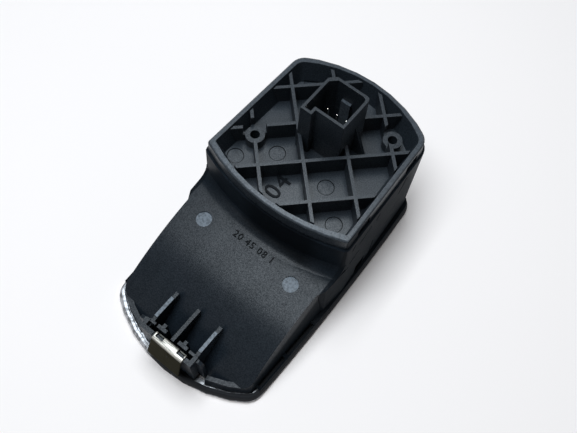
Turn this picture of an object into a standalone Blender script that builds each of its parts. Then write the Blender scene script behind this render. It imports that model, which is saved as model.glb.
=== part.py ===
"""Power window switch with a finger scoop, lying on its front face with the connector up.

Z = 0 is the plane of the chrome frame's front, +Z points to the connector, +Y to the
connector end and -Y to the clip end. X = 0 is the middle of the part. Sizes are in metres.
"""
import math
from dataclasses import dataclass, replace

import bmesh
import bpy
from mathutils import Matrix, Vector

MM = 0.001

# Clearances
GAP = 0.3 * MM                      # between touching mouldings
BITE = 0.5 * MM                     # how far joined shapes run into each other
SET_BACK = 0.02 * MM                # small step between joined faces that would be flush

# Housing of the carrier, under the cover
RIM_Z = 39.0 * MM                   # top of the cover's rim
HOUSING_HALF_NEAR = 25.0 * MM
HOUSING_TAPER = 1.3 * MM            # half width lost towards the connector end
HOUSING_HALF_FAR = HOUSING_HALF_NEAR - HOUSING_TAPER
HOUSING_NEAR_Y = 1.5 * MM
HOUSING_FAR_Y = 42.4 * MM
HOUSING_NEAR_BULGE = 5.1 * MM
HOUSING_FAR_BULGE = 7.1 * MM
HOUSING_NEAR_RADIUS = 0.9 * MM
HOUSING_FAR_RADIUS = 5.0 * MM
HOUSING_WALL = 1.6 * MM
HOUSING_DRAFT = 0.06                # growth of the half width for each unit down
HOUSING_LEAN = 0.03                 # the connector end draws in by this for each unit down
PARTING_Z = 34.4 * MM               # lower edge of the cover's band
WALL_LEDGE = 0.6 * MM               # how far the wall's top stands out beyond the cover's band

# Chrome frame
FRAME_HALF_NEAR = HOUSING_HALF_NEAR + 2.6 * MM      # half width at the clip end's corners
FRAME_HALF_FAR = HOUSING_HALF_NEAR + 2.0 * MM       # half width at the connector end's corners
FRAME_CORNER_Y = 41.35 * MM
FRAME_END_BULGE = 9.2 * MM
FRAME_SIDE_BULGE = 1.0 * MM
FRAME_CORNER_RADIUS = 6.0 * MM
FRAME_HEIGHT = 3.0 * MM
FRAME_BAND = 1.5 * MM               # full-height outer band
FRAME_LEDGE = 3.2 * MM              # width of the front face
FRAME_LEDGE_HEIGHT = 1.2 * MM
FRAME_EDGE = 0.6 * MM               # rounding of the front edge
FRAME_BACK_EDGE = 0.8 * MM          # rounding of the back edge
REACH = 2 * FRAME_CORNER_Y          # cutters run this far from the origin, well past the part

# Scoop plate, its skirts and the end wall
SCOOP_HALF_NEAR = HOUSING_HALF_NEAR - 1.4 * MM
SCOOP_HALF_FAR = HOUSING_HALF_NEAR - 0.1 * MM
SCOOP_CORNER_Y = -38.8 * MM
SCOOP_END_BULGE = 7.8 * MM
SCOOP_CORNER_RADIUS = 2.0 * MM
SCOOP_DRAFT = 0.09
SKIRT_WALL = 1.6 * MM
PLATE_Z = 20.5 * MM                 # the plate's outer face where it meets the housing
PLATE_WALL = 2.0 * MM
PLATE_START_Y = -3.5 * MM           # the plate starts to curve here
PLATE_END_Y = SCOOP_CORNER_Y - SCOOP_END_BULGE + 1.93 * MM
PLATE_FILLET = 4.5 * MM
FILLET_SINK = 0.15 * MM             # the fillet's edges end this far inside wall and plate
WEB_Z = 3.6 * MM                    # flat web between the plate's end and the end wall
PLATE_RADIUS = ((PLATE_START_Y - PLATE_END_Y) ** 2 + (PLATE_Z - WEB_Z) ** 2) / (2 * (PLATE_Z - WEB_Z))
END_WALL = 1.2 * MM
END_WALL_TOP = WEB_Z + 3.0 * MM
SHOULDER_Y = -7.0 * MM              # the housing's side walls run on to here
SHOULDER_EASE = 0.6 * MM            # how far the run has come in by then
SHOULDER_STEP = 3.5 * MM

# Flange round the carrier
FLANGE_THICKNESS = 1.1 * MM
FLANGE_INSET = 0.6 * MM
FLANGE_TAPER = 0.1 * MM
FLANGE_END_Y = -38.0 * MM
SPIGOT_WALL = 1.2 * MM
CHANNEL_WIDTH = 1.3 * MM
CHANNELS_Y = ((-37.2 * MM, -26.0 * MM), (-24.6 * MM, -12.5 * MM))
POCKET_Y = (8.8 * MM, 13.6 * MM)    # window at the foot of each side wall
POCKET_HEIGHT = 5.4 * MM
TAB_SLOT_Y = 17.6 * MM
TAB_SLOT_HEIGHT = 9.0 * MM
SLIT_WIDTH = 0.6 * MM
SLITS_START = ((32.0 * MM, 33.0 * MM), (18.0 * MM, 31.6 * MM), (13.8 * MM, 30.4 * MM), (5.4 * MM, 32.2 * MM),
               (8.3 * MM, 23.2 * MM))       # upper end of each slit, as y and z
SLITS_END = ((28.6 * MM, 27.6 * MM), (16.2 * MM, 29.6 * MM), (7.8 * MM, 28.2 * MM), (4.0 * MM, 30.0 * MM),
             (3.6 * MM, 22.0 * MM))

# Clip tower at the end
TOWER_HALF = 9.5 * MM
TOWER_OUTER_Y = -47.4 * MM
TOWER_WALL = 1.4 * MM
TOWER_TOP = 17.7 * MM
TOWER_RECESS_HALF = 12.6 * MM
CHEEK_WALL = 1.2 * MM
CHEEK_DEPTH = 3.4 * MM
WING_Y = -45.2 * MM
WING_WALL = 1.1 * MM
WING_HALF = 11.8 * MM
WING_TOP = 16.8 * MM
WING_CORNER = 1.6 * MM
KNEE = 0.3                          # share of a corner's size at which its bevel is broken once
GUSSET_PITCH = 8.3 * MM
GUSSET_WALL = 1.1 * MM
GUSSET_TOP = 15.5 * MM
GUSSET_END_Y = -32.9 * MM
GUSSET_PAD = 0.45 * MM              # how far the outer gussets' middle stretch stands up
GUSSET_PAD_Y = (-42.2 * MM, -35.0 * MM)
GUSSET_KNEE_Y = -38.0 * MM          # the ribs' buried lower edge bends here
POST_X = 3.9 * MM
POST_TOP = 17.4 * MM
POST_BAR = (3.3 * MM, 1.1 * MM)
POST_STEM = (1.1 * MM, 1.1 * MM)
HOOK_X = (6.3 * MM, 8.6 * MM)
HOOK_Y = (-44.5 * MM, -43.7 * MM)

# Spring clip
CLIP_TOP_X = (-4.4 * MM, 6.7 * MM)
CLIP_FOOT_X = (-5.6 * MM, 6.3 * MM)
CLIP_SHEET = 0.5 * MM
CLIP_INNER_DROP = 7.0 * MM
CLIP_FOOT_Y = -50.2 * MM
CLIP_FOOT_Z = 6.6 * MM
CLIP_SLOT = 2.6 * MM
CLIP_SLOT_DEPTH = 1.5 * MM
CLIP_SLOT_REACH = 1.7 * MM
CLIP_BARB = (1.7 * MM, 2.4 * MM, 1.5 * MM)   # x, width and distance below the bend
CLIP_BARB_RISE = 0.6 * MM
CLIP_BEND = 0.8 * MM                # size of the bevelled bends

# Base cover
RIM_WIDTH = 1.6 * MM
RIM_THIN = 0.2 * MM                 # the rim is thinner by this at the connector end
RIM_BEVEL = 0.45 * MM
FLOOR_Z = 32.0 * MM
FLOOR_WALL = 1.6 * MM
PLUG_INSET = HOUSING_WALL + GAP + HOUSING_LEAN * (PARTING_Z + BITE - FLOOR_Z + FLOOR_WALL)
RECESS_DRAFT = 0.25
RIB_PITCH = 12.93 * MM
RIB_WALL = 1.0 * MM
RIB_START = -3.0 * MM               # first rib's offset along each diagonal
RIB_COUNT = 5
RIB_DROP = 0.25 * MM                # rib tops lie this far below the rim
BOSS_RADIUS = 2.95 * MM
BOSS_HOLE_RADIUS = 1.45 * MM
BOSS_HOLE_DEPTH = 5.6 * MM
MARK_RADIUS = 2.45 * MM             # round marks on the recess floor and the plate
MARK_DEPTH = 0.12 * MM
FLOOR_MARKS = ((-18.6 * MM, 6.05 * MM), (-9.6 * MM, 14.55 * MM), (8.4 * MM, 14.55 * MM),
               (17.3 * MM, 6.45 * MM), (-17.5 * MM, 41.85 * MM))
PLATE_MARK = (16.5 * MM, -11.5 * MM)
PLATE_MARK_DEPTH = 0.2 * MM
BOSS_DROP = 3.6 * MM                # boss tops lie this far below the rim
BOSSES = ((-17.45 * MM, 13.75 * MM), (15.0 * MM, 38.15 * MM))
BOSS_CLEAR_RADIUS = 3.6 * MM        # ribs are cut down within this distance of a boss
STANDOFF_RADIUS = 2.2 * MM
SNAPS_Y = (9.6 * MM, 34.4 * MM)
SNAP_LENGTH = 5.8 * MM
SNAP_DEPTH = 1.1 * MM
SNAP_HEIGHT = 3.4 * MM
SNAP_HEADROOM = 1.2 * MM

# Connector shroud on the cover
SHROUD_LEFT = -7.1 * MM
SHROUD_RIGHT = 6.3 * MM
SHROUD_NEAR_Y = 20.6 * MM
SHROUD_KEY_Y = 22.5 * MM            # the wall steps back to here beyond the key
SHROUD_KEY_X = -3.3 * MM
SHROUD_FAR_Y = 35.4 * MM
SHROUD_TOP = 51.5 * MM
SHROUD_WALL = 0.85 * MM
SHROUD_CHAMFER = 2.0 * MM
SHROUD_CORNER = 1.2 * MM
SHROUD_DRAFT = 0.015
SHROUD_GUSSET = (1.1 * MM, 4.6 * MM, 12.0 * MM)
SHROUD_GUSSETS_Y = (30.0 * MM, 27.0 * MM)
SOCKET_RIB = (3.2 * MM, 0.8 * MM, 44.7 * MM)     # width, depth and top of the rib on the far wall

# Connector pins
PIN_SIZE = 0.8 * MM
PIN_PITCH = 3.3 * MM
PIN_ROWS_Y = (26.6 * MM, 29.9 * MM)
PIN_CENTRE_X = -0.4 * MM
PIN_TIP_Z = 43.5 * MM
PIN_TAPER = 1.0 * MM
PIN_TIP = 0.45                      # size of the tip's flat end against the pin's
PIN_TAIL = 1.0 * MM

# Circuit board and what is on it
BOARD_Z = 26.0 * MM                 # the board's face towards the rocker
BOARD_WALL = 1.6 * MM
BOARD_INSET = 1.0 * MM
MAT_SHEET = 0.8 * MM
MAT_HALF_WIDTH = 6.0 * MM
MAT_MARGIN = 3.3 * MM
DOME_RADIUS = 2.7 * MM
DOME_TOP_RADIUS = 1.7 * MM
DOME_HEIGHT = 2.0 * MM
LAMP_X = 11.0 * MM
LAMP_SIZE = (3.0 * MM, 2.8 * MM, 1.9 * MM)
CHIP_PLACE = (-10.0 * MM, 30.0 * MM)
CHIP_SIZE = (7.0 * MM, 7.0 * MM, 1.3 * MM)
RESISTOR_X = 10.0 * MM
RESISTORS_Y = (24.0 * MM, 27.0 * MM)
RESISTOR_SIZE = (3.2 * MM, 1.6 * MM, 0.7 * MM)
DIODE_PLACE = (-12.0 * MM, 21.0 * MM)
DIODE_SIZE = (4.2 * MM, 2.6 * MM, 2.0 * MM)
CAN_PLACE = (11.0 * MM, 34.0 * MM)
CAN_RADIUS = 3.1 * MM
CAN_HEIGHT = 5.4 * MM

# Guide frame inside the housing
GUIDE_Z = 17.0 * MM
GUIDE_WALL = 1.6 * MM
GUIDE_FAR_Y = 39.3 * MM
GUIDE_BOSS_WALL = 1.2 * MM
GUIDE_BOSS_HEIGHT = 2.0 * MM
GUIDE_POST_RADIUS = 1.8 * MM
GUIDE_POSTS = ((17.0 * MM, 6.5 * MM), (17.0 * MM, 36.0 * MM))
ROD_RADIUS = 1.5 * MM               # light guide
ROD_DROP = 2.4 * MM
COLLAR_RADIUS = 2.2 * MM
COLLAR_HEIGHT = 0.8 * MM
EAR_WALL = 1.8 * MM
EAR_LENGTH = 7.0 * MM
LEDGE_Y = (22.0 * MM, 34.0 * MM)
LEDGE_REACH = 2.0 * MM
LEDGE_HEIGHT = 2.0 * MM

# Rocker
ROCKER_HALF = 15.0 * MM
ROCKER_LIP_Y = -10.5 * MM
ROCKER_FAR_Y = 19.0 * MM
ROCKER_FACE_Z = 1.9 * MM
ROCKER_WALL = 1.7 * MM
ROCKER_DEPTH = 6.1 * MM             # from the face to the back of its sides
ROCKER_DISH = 0.7 * MM              # how far the face is dished
ROCKER_EDGE = 0.35 * MM
ROCKER_LIP_DEPTH = 1.0 * MM
PIVOT_Y = 8.0 * MM
PIVOT_Z = 9.6 * MM
HUB_RADIUS = 2.9 * MM
TRUNNION_RADIUS = 1.4 * MM
TRUNNION_GAP = 0.3 * MM
PAD_TOP_Z = 12.0 * MM
PAD_SIZE = 3.2 * MM
ROCKER_SWING_GAP = 1.3 * MM
LENS_SIZE = (9.0 * MM, 2.0 * MM)
LENS_Y = -2.5 * MM
LENS_DEPTH = 1.6 * MM

# Plungers between rocker and domes
PLUNGER_LEVER = 6.0 * MM
PLUNGER_RADIUS = 1.6 * MM
PLUNGER_HEAD_RADIUS = 2.4 * MM
PLUNGER_HEAD = 1.0 * MM

# Front panel round the rocker
PANEL_FACE_Z = 1.2 * MM
PANEL_WALL = 1.5 * MM
PANEL_SKIRT = 1.2 * MM
PANEL_SKIRT_TOP = 6.0 * MM
PANEL_EDGE = 0.4 * MM

COLLECTION_NAME = "power_window_switch"
ROUND_STEPS = 24


@dataclass(frozen=True)
class Barrel:
    """A four-cornered outline with bulging edges, symmetric about X = 0."""
    near_half: float
    far_half: float
    near_y: float
    far_y: float
    near_bulge: float
    far_bulge: float
    near_radius: float
    far_radius: float
    side_bulge: float = 0.0
    near_steps: int = 2
    far_steps: int = 2
    end_steps: int = 8

    def grown(self, amount):
        """The outline with every edge moved outwards by amount."""
        return replace(self, near_half=self.near_half + amount, far_half=self.far_half + amount,
                       near_y=self.near_y - amount, far_y=self.far_y + amount,
                       near_radius=max(self.near_radius + amount, 0.3 * MM),
                       far_radius=max(self.far_radius + amount, 0.3 * MM))

    def points(self):
        """The outline's points, counter-clockwise from the left corner of the near end."""
        a = Vector((-self.near_half, self.near_y))
        b = Vector((self.near_half, self.near_y))
        c = Vector((self.far_half, self.far_y))
        d = Vector((-self.far_half, self.far_y))
        side_steps = 6 if self.side_bulge else 1
        far_edge_steps = self.end_steps if self.far_bulge else 1
        edges = (bulged(a, b, self.near_bulge, self.end_steps), bulged(b, c, self.side_bulge, side_steps),
                 bulged(c, d, self.far_bulge, far_edge_steps), bulged(d, a, self.side_bulge, side_steps))
        near = (self.near_radius, self.near_steps)
        far = (self.far_radius, self.far_steps)
        outline = []
        for i, edge in enumerate(edges):
            following = edge[1] if len(edge) > 1 else edges[(i + 1) % 4][0]
            outline += rounded(edges[i - 1][-1], edge[0], following, *(near if i < 2 else far))
            outline += edge[1:]
        return outline


def bulged(start, end, bulge, steps):
    """Points from start up to, but without, end, on an arc that bulges to the right by bulge."""
    if not bulge:
        return [start.lerp(end, i / steps) for i in range(steps)]
    chord = end - start
    half = chord.length / 2
    radius = (half * half + bulge * bulge) / (2 * bulge)
    outward = Vector((chord.y, -chord.x)).normalized()
    centre = (start + end) / 2 - outward * (radius - bulge)
    sweep = 2 * math.asin(half / radius)
    return [centre + Matrix.Rotation(sweep * i / steps, 2) @ (start - centre) for i in range(steps)]


def rounded(before, corner, after, radius, steps):
    """Points of the arc that rounds a convex corner."""
    u = (before - corner).normalized()
    v = (after - corner).normalized()
    half = u.angle(v) / 2
    centre = corner + (u + v).normalized() * radius / math.sin(half)
    first = corner + u * radius / math.tan(half) - centre
    sweep = math.pi - 2 * half
    return [centre + Matrix.Rotation(sweep * i / steps, 2) @ first for i in range(steps + 1)]


FRAME = Barrel(FRAME_HALF_NEAR, FRAME_HALF_FAR, -FRAME_CORNER_Y, FRAME_CORNER_Y, FRAME_END_BULGE,
               FRAME_END_BULGE, FRAME_CORNER_RADIUS, FRAME_CORNER_RADIUS, FRAME_SIDE_BULGE,
               near_steps=5, far_steps=5)
HOUSING = Barrel(HOUSING_HALF_NEAR, HOUSING_HALF_FAR, HOUSING_NEAR_Y, HOUSING_FAR_Y, HOUSING_NEAR_BULGE,
                 HOUSING_FAR_BULGE, HOUSING_NEAR_RADIUS, HOUSING_FAR_RADIUS, far_steps=5)
SCOOP = Barrel(SCOOP_HALF_NEAR, SCOOP_HALF_FAR, SCOOP_CORNER_Y, HOUSING_NEAR_Y + 2 * HOUSING_WALL,
               SCOOP_END_BULGE, 0.0, SCOOP_CORNER_RADIUS, BITE, near_steps=4)


def housing_shape(z):
    """The housing's outline at height z. Its sides have draft and its connector end leans in."""
    growth = HOUSING_DRAFT * (RIM_Z - z)
    lean = HOUSING_LEAN * max(PARTING_Z + BITE - z, 0.0)
    return replace(HOUSING, near_half=HOUSING.near_half + growth, far_half=HOUSING.far_half + growth - lean,
                   far_y=HOUSING.far_y - lean)


def housing_at(z, inset=0.0):
    """Points of the housing's outline at height z."""
    return housing_shape(z).grown(-inset).points()


def wall_ledge(z):
    """How far the housing's wall stands out at height z."""
    return WALL_LEDGE * z / PARTING_Z


def housing_half(y):
    """The housing's half width at its rim, at y."""
    return HOUSING_HALF_NEAR - HOUSING_TAPER * (y - HOUSING_NEAR_Y) / (HOUSING_FAR_Y - HOUSING_NEAR_Y)


def scoop_at(z, inset=0.0):
    """The scoop's outline at height z."""
    return SCOOP.grown(SCOOP_DRAFT * (PLATE_Z - z) - inset).points()


def plate_height(y, inset=0.0):
    """Height of the scoop plate's outer face at y, or of a face that lies inset under it."""
    if y >= PLATE_START_Y:
        return PLATE_Z - inset
    radius = PLATE_RADIUS - inset
    return PLATE_Z - PLATE_RADIUS + math.sqrt(radius * radius - (y - PLATE_START_Y) ** 2)


def plate_reach(z, inset=0.0):
    """The y at which the plate's face comes down to height z."""
    radius = PLATE_RADIUS - inset
    drop = z - PLATE_Z + PLATE_RADIUS
    return PLATE_START_Y - math.sqrt(radius * radius - drop * drop)


# Scene and mesh helpers

def clear_scene():
    for item in list(bpy.data.objects):
        bpy.data.objects.remove(item, do_unlink=True)


def make_collection(name):
    group = bpy.data.collections.new(name)
    bpy.context.scene.collection.children.link(group)
    return group


def add_object(name, bm, group=None):
    """An object from a bmesh, with its faces pointing out. Cutters are the default."""
    bmesh.ops.recalc_face_normals(bm, faces=bm.faces)
    data = bpy.data.meshes.new(name)
    bm.to_mesh(data)
    bm.free()
    item = bpy.data.objects.new(name, data)
    (group or CUTTERS).objects.link(item)
    if group is None:
        item.hide_render = True
        item.display_type = "WIRE"
    return item


def loft(name, sections, group=None):
    """A solid through level outlines, each a pair of points and height, from the bottom up."""
    bm = bmesh.new()
    rings = [[bm.verts.new((x, y, z)) for x, y in points] for points, z in sections]
    bm.faces.new(rings[0][::-1])
    bm.faces.new(rings[-1])
    for low, high in zip(rings, rings[1:]):
        for i in range(len(low)):
            j = (i + 1) % len(low)
            bm.faces.new((low[i], low[j], high[j], high[i]))
    return add_object(name, bm, group)


def side_profile(name, profile, half_width, group=None, centre_x=0.0):
    """A solid with a closed outline in Y and Z, extruded along X."""
    bm = bmesh.new()
    face = bm.faces.new([bm.verts.new((centre_x - half_width, y, z)) for y, z in profile])
    pushed = bmesh.ops.extrude_face_region(bm, geom=[face])["geom"]
    moved = [v for v in pushed if isinstance(v, bmesh.types.BMVert)]
    bmesh.ops.translate(bm, verts=moved, vec=(2 * half_width, 0, 0))
    return add_object(name, bm, group)


def add_box(bm, low, high):
    """Adds a box between two corners."""
    size = [h - l for l, h in zip(low, high)]
    middle = [(l + h) / 2 for l, h in zip(low, high)]
    bmesh.ops.create_cube(bm, size=1.0, matrix=Matrix.Translation(middle) @ Matrix.Diagonal((*size, 1)))


def boxes(name, corners, group=None):
    """Boxes in one object, each given by its low and high corner."""
    bm = bmesh.new()
    for low, high in corners:
        add_box(bm, low, high)
    return add_object(name, bm, group)


def add_cone(bm, x, y, low_z, high_z, low_radius, high_radius, steps=ROUND_STEPS):
    """Adds an upright cylinder or cone."""
    bmesh.ops.create_cone(bm, cap_ends=True, segments=steps, radius1=low_radius, radius2=high_radius,
                          depth=high_z - low_z, matrix=Matrix.Translation((x, y, (low_z + high_z) / 2)))


def cylinders(name, items, group=None):
    """Upright cylinders in one object, each given as x, y, low z, high z and radius."""
    bm = bmesh.new()
    for x, y, low_z, high_z, radius in items:
        add_cone(bm, x, y, low_z, high_z, radius, radius)
    return add_object(name, bm, group)


def cross_pin(name, low_x, high_x, y, z, radius, group=None):
    """A cylinder along X."""
    bm = bmesh.new()
    turn = Matrix.Translation(((low_x + high_x) / 2, y, z)) @ Matrix.Rotation(math.pi / 2, 4, "Y")
    bmesh.ops.create_cone(bm, cap_ends=True, segments=ROUND_STEPS, radius1=radius, radius2=radius,
                          depth=high_x - low_x, matrix=turn)
    return add_object(name, bm, group)


def combine(item, operation, *tools):
    """Adds one Boolean for each tool."""
    for tool in tools:
        modifier = item.modifiers.new(f"{operation.lower()} {tool.name}", "BOOLEAN")
        modifier.operation = operation
        modifier.solver = "EXACT"
        modifier.object = tool


def cut(item, *tools):
    combine(item, "DIFFERENCE", *tools)


def join(item, *tools):
    combine(item, "UNION", *tools)


def keep(item, *tools):
    combine(item, "INTERSECT", *tools)


def put_origin(item, point):
    """Puts an object's origin at a point and leaves its form where it is."""
    item.data.transform(Matrix.Translation(-Vector(point)))
    item.location = point


def finish(item, material, smooth_angle=32.0):
    """Gives an object its material and its shading."""
    item.data.materials.append(material)
    item.data.shade_smooth()
    item.data.set_sharp_from_angle(angle=math.radians(smooth_angle))


def make_material(name, color, roughness, metallic=0.0):
    material = bpy.data.materials.new(name)
    material.use_nodes = True
    shader = material.node_tree.nodes["Principled BSDF"]
    shader.inputs["Base Color"].default_value = (*color, 1.0)
    shader.inputs["Roughness"].default_value = roughness
    shader.inputs["Metallic"].default_value = metallic
    return material


# Chrome frame

def make_chrome_frame():
    """A ring with a full-height outer band and a thin ledge that the carrier stands on."""
    half_edge = FRAME_BACK_EDGE / 2
    ring = loft("chrome_frame", [(FRAME.grown(-FRAME_EDGE).points(), 0.0),
                                 (FRAME.points(), FRAME_EDGE),
                                 (FRAME.points(), FRAME_HEIGHT - 2 * FRAME_BACK_EDGE),
                                 (FRAME.grown(-half_edge).points(), FRAME_HEIGHT - half_edge),
                                 (FRAME.grown(-FRAME_BACK_EDGE).points(), FRAME_HEIGHT)], PARTS)
    inner = FRAME.grown(-FRAME_LEDGE)
    opening = loft("frame_opening", [(inner.points(), -REACH), (inner.points(), REACH)])
    band = FRAME.grown(-FRAME_BAND)
    rebate = loft("frame_rebate", [(band.points(), FRAME_LEDGE_HEIGHT), (band.points(), REACH)])
    cut(ring, opening, rebate)
    finish(ring, make_material("chrome", (0.78, 0.79, 0.81), 0.12, 1.0))


# Carrier: housing, scoop, flange and clip tower in one moulding

def plate_profile(inset, low_z, far_y):
    """Side outline of all that lies under the plate's face, down to low_z."""
    stop_y = plate_reach(WEB_Z - inset, inset)
    steps = 14
    curve = [PLATE_START_Y + (stop_y - PLATE_START_Y) * i / steps for i in range(steps + 1)]
    return [(far_y, low_z), (far_y, PLATE_Z - inset), *[(y, plate_height(y, inset)) for y in curve]]


def scoop_form():
    """The scoop's outer form: drafted skirts under the curved plate."""
    levels = (FRAME_LEDGE_HEIGHT + GAP, PLATE_Z + 4 * BITE)
    scoop = loft("carrier_housing", [(scoop_at(z), z) for z in levels], PARTS)
    outer = plate_profile(0.0, -REACH, REACH) + [(-REACH, WEB_Z), (-REACH, -REACH)]
    join(scoop, shoulders())
    keep(scoop, side_profile("plate_outside", outer, REACH))
    return scoop


def scoop_well():
    """The hollow that the finger reaches into from the front."""
    well = loft("well", [(scoop_at(z, SKIRT_WALL), z) for z in (-BITE, PLATE_Z)])
    inner = plate_profile(PLATE_WALL, -2 * BITE, REACH)
    inner += [(inner[-1][0], -2 * BITE)]
    keep(well, side_profile("plate_inside", inner, REACH))
    return well


def shoulders():
    """The stretches of side wall that run past the housing's near corners."""
    bm = bmesh.new()
    foot_z = FRAME_HEIGHT + GAP + 1.2 * BITE
    inner_x = SCOOP_HALF_FAR - SKIRT_WALL / 2
    for side in (-1, 1):
        rings = []
        for z in (foot_z, PLATE_Z + 2 * BITE):
            outer_x = HOUSING_HALF_NEAR + HOUSING_DRAFT * (RIM_Z - z) + wall_ledge(z) + SET_BACK
            plan = ((inner_x, SHOULDER_Y - SHOULDER_STEP), (outer_x - SHOULDER_EASE, SHOULDER_Y),
                    (outer_x, HOUSING_NEAR_Y), (outer_x, HOUSING_NEAR_Y + HOUSING_WALL),
                    (inner_x, HOUSING_NEAR_Y + HOUSING_WALL))
            rings.append([bm.verts.new((side * x, y, z)) for x, y in plan])
        bm.faces.new(rings[0])
        bm.faces.new(rings[1])
        count = len(rings[0])
        for i in range(count):
            j = (i + 1) % count
            bm.faces.new((rings[0][i], rings[0][j], rings[1][j], rings[1][i]))
    return add_object("shoulders", bm)


def near_wall_fillet():
    """The fillet between the housing's near wall and the plate, turned about the wall's own centre."""
    ledge = wall_ledge(PLATE_Z)
    half = HOUSING_HALF_NEAR + HOUSING_DRAFT * (RIM_Z - PLATE_Z) + ledge
    wall_radius = (half ** 2 + HOUSING_NEAR_BULGE ** 2) / (2 * HOUSING_NEAR_BULGE)
    centre = Vector((0.0, HOUSING_NEAR_Y - ledge - HOUSING_NEAR_BULGE + wall_radius, 0.0))
    half_angle = math.asin(half / wall_radius) * (HOUSING.end_steps + 2) / HOUSING.end_steps
    bite = HOUSING_WALL / 2
    foot = wall_radius - FILLET_SINK + PLATE_FILLET
    low = PLATE_Z - FILLET_SINK
    profile = [(wall_radius - bite, PLATE_Z - bite), (foot, PLATE_Z - bite)]
    steps = 5
    for i in range(steps + 1):
        angle = math.pi / 2 * i / steps
        profile.append((foot - PLATE_FILLET * math.sin(angle), low + PLATE_FILLET * (1 - math.cos(angle))))
    profile.append((wall_radius - bite, low + PLATE_FILLET))
    bm = bmesh.new()
    start = Matrix.Rotation(-math.pi / 2 - half_angle, 4, "Z")
    face = bm.faces.new([bm.verts.new(centre + start @ Vector((r, 0, z))) for r, z in profile])
    bmesh.ops.spin(bm, geom=[face], cent=centre, axis=(0, 0, 1), angle=2 * half_angle,
                   steps=HOUSING.end_steps + 2)
    fillet = add_object("near_wall_fillet", bm)
    keep(fillet, boxes("fillet_limit", [((-half + PLATE_FILLET * HOUSING_DRAFT, -REACH, 0.0),
                                         (half - PLATE_FILLET * HOUSING_DRAFT, REACH, REACH))]))
    return fillet


def end_wall():
    """The low wall along the clip end."""
    low_z = FRAME_LEDGE_HEIGHT + GAP + BITE
    wall = loft("end_wall", [(scoop_at(z, SET_BACK), z) for z in (low_z, END_WALL_TOP)])
    hollow_levels = (low_z - BITE, END_WALL_TOP + BITE)
    hollow = loft("end_wall_inside", [(scoop_at(z, END_WALL), z) for z in hollow_levels])
    rear_y = plate_reach(END_WALL_TOP) + BITE
    rear = boxes("end_wall_limit", [((-REACH, rear_y, -REACH), (REACH, REACH, REACH))])
    cut(wall, hollow, rear)
    return wall


def flange():
    """The black flange that covers the chrome band along the sides and the connector end."""
    low_z = FRAME_HEIGHT + GAP
    shape = FRAME.grown(-FLANGE_INSET)
    plate = loft("flange", [(shape.points(), low_z),
                            (shape.grown(-FLANGE_TAPER).points(), low_z + FLANGE_THICKNESS)])
    beyond = SCOOP.grown(SCOOP_DRAFT * (PLATE_Z - low_z) + CHANNEL_WIDTH)
    channels = loft("channels", [(beyond.points(), 0.0), (beyond.points(), 2 * low_z)])
    keep(channels, boxes("channel_stretches", [((-REACH, low, -REACH), (REACH, high, REACH))
                                               for low, high in CHANNELS_Y]))
    cut(plate, channels, boxes("flange_end", [((-REACH, -REACH, -REACH), (REACH, FLANGE_END_Y, REACH))]))
    return plate


def frame_seat():
    """Room for the chrome band round the carrier's foot."""
    inner = FRAME.grown(-FRAME_BAND - GAP)
    outer = FRAME.grown(2 * FRAME_BAND)
    high_z = FRAME_HEIGHT + GAP - SET_BACK
    seat = loft("frame_seat", [(outer.points(), -BITE), (outer.points(), high_z)])
    cut(seat, loft("seat_core", [(inner.points(), -2 * BITE), (inner.points(), high_z + BITE)]))
    return seat


def spigot():
    """The foot of the housing's walls, which drops inside the chrome band."""
    low_z = FRAME_LEDGE_HEIGHT + GAP + SET_BACK
    high_z = FRAME_HEIGHT + GAP + FLANGE_THICKNESS / 3
    shape = FRAME.grown(-FRAME_BAND - GAP)
    foot = loft("spigot", [(shape.points(), low_z), (shape.points(), high_z)])
    keep(foot, boxes("spigot_limit", [((-REACH, SHOULDER_Y + BITE, -REACH), (REACH, REACH, REACH))]))
    return foot


def housing_block():
    """The housing's outer form."""
    low_z = FRAME_HEIGHT + GAP + BITE
    return loft("housing_block", [(housing_at(z, -wall_ledge(z)), z) for z in (low_z, PARTING_Z)])


def housing_hollow():
    """The housing's inside, open at both ends."""
    low_z = -BITE
    high_z = PARTING_Z + BITE
    return loft("housing_hollow", [(housing_at(z, HOUSING_WALL), z) for z in (low_z, high_z)])


def bulkhead_cuts():
    """Room in the near wall's foot for the front panel and the rocker."""
    wall_y = (HOUSING_NEAR_Y - HOUSING_NEAR_BULGE - 2 * BITE, HOUSING_NEAR_Y + HOUSING_WALL)
    panel_half = HOUSING_HALF_NEAR - HOUSING_WALL
    rocker_half = ROCKER_HALF + ROCKER_SWING_GAP
    panel_z = PANEL_FACE_Z + PANEL_WALL + GAP
    rocker_z = ROCKER_FACE_Z + ROCKER_WALL + ROCKER_LIP_DEPTH + 1.7 * ROCKER_SWING_GAP
    return (boxes("panel_room", [((-panel_half, wall_y[0], 0.0), (panel_half, wall_y[1], panel_z))]),
            boxes("rocker_room", [((-rocker_half, wall_y[0], 0.0), (rocker_half, wall_y[1], rocker_z))]))


def ledges():
    """Ledges on the side walls that carry the guide frame."""
    top_z = GUIDE_Z - GAP
    corners = []
    for side in (-1, 1):
        outer_x = HOUSING_HALF_FAR
        inner_x = HOUSING_HALF_FAR - HOUSING_WALL - LEDGE_REACH
        xs = sorted((side * inner_x, side * outer_x))
        corners.append(((xs[0], LEDGE_Y[0], top_z - LEDGE_HEIGHT), (xs[1], LEDGE_Y[1], top_z)))
    return boxes("ledges", corners)


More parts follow.
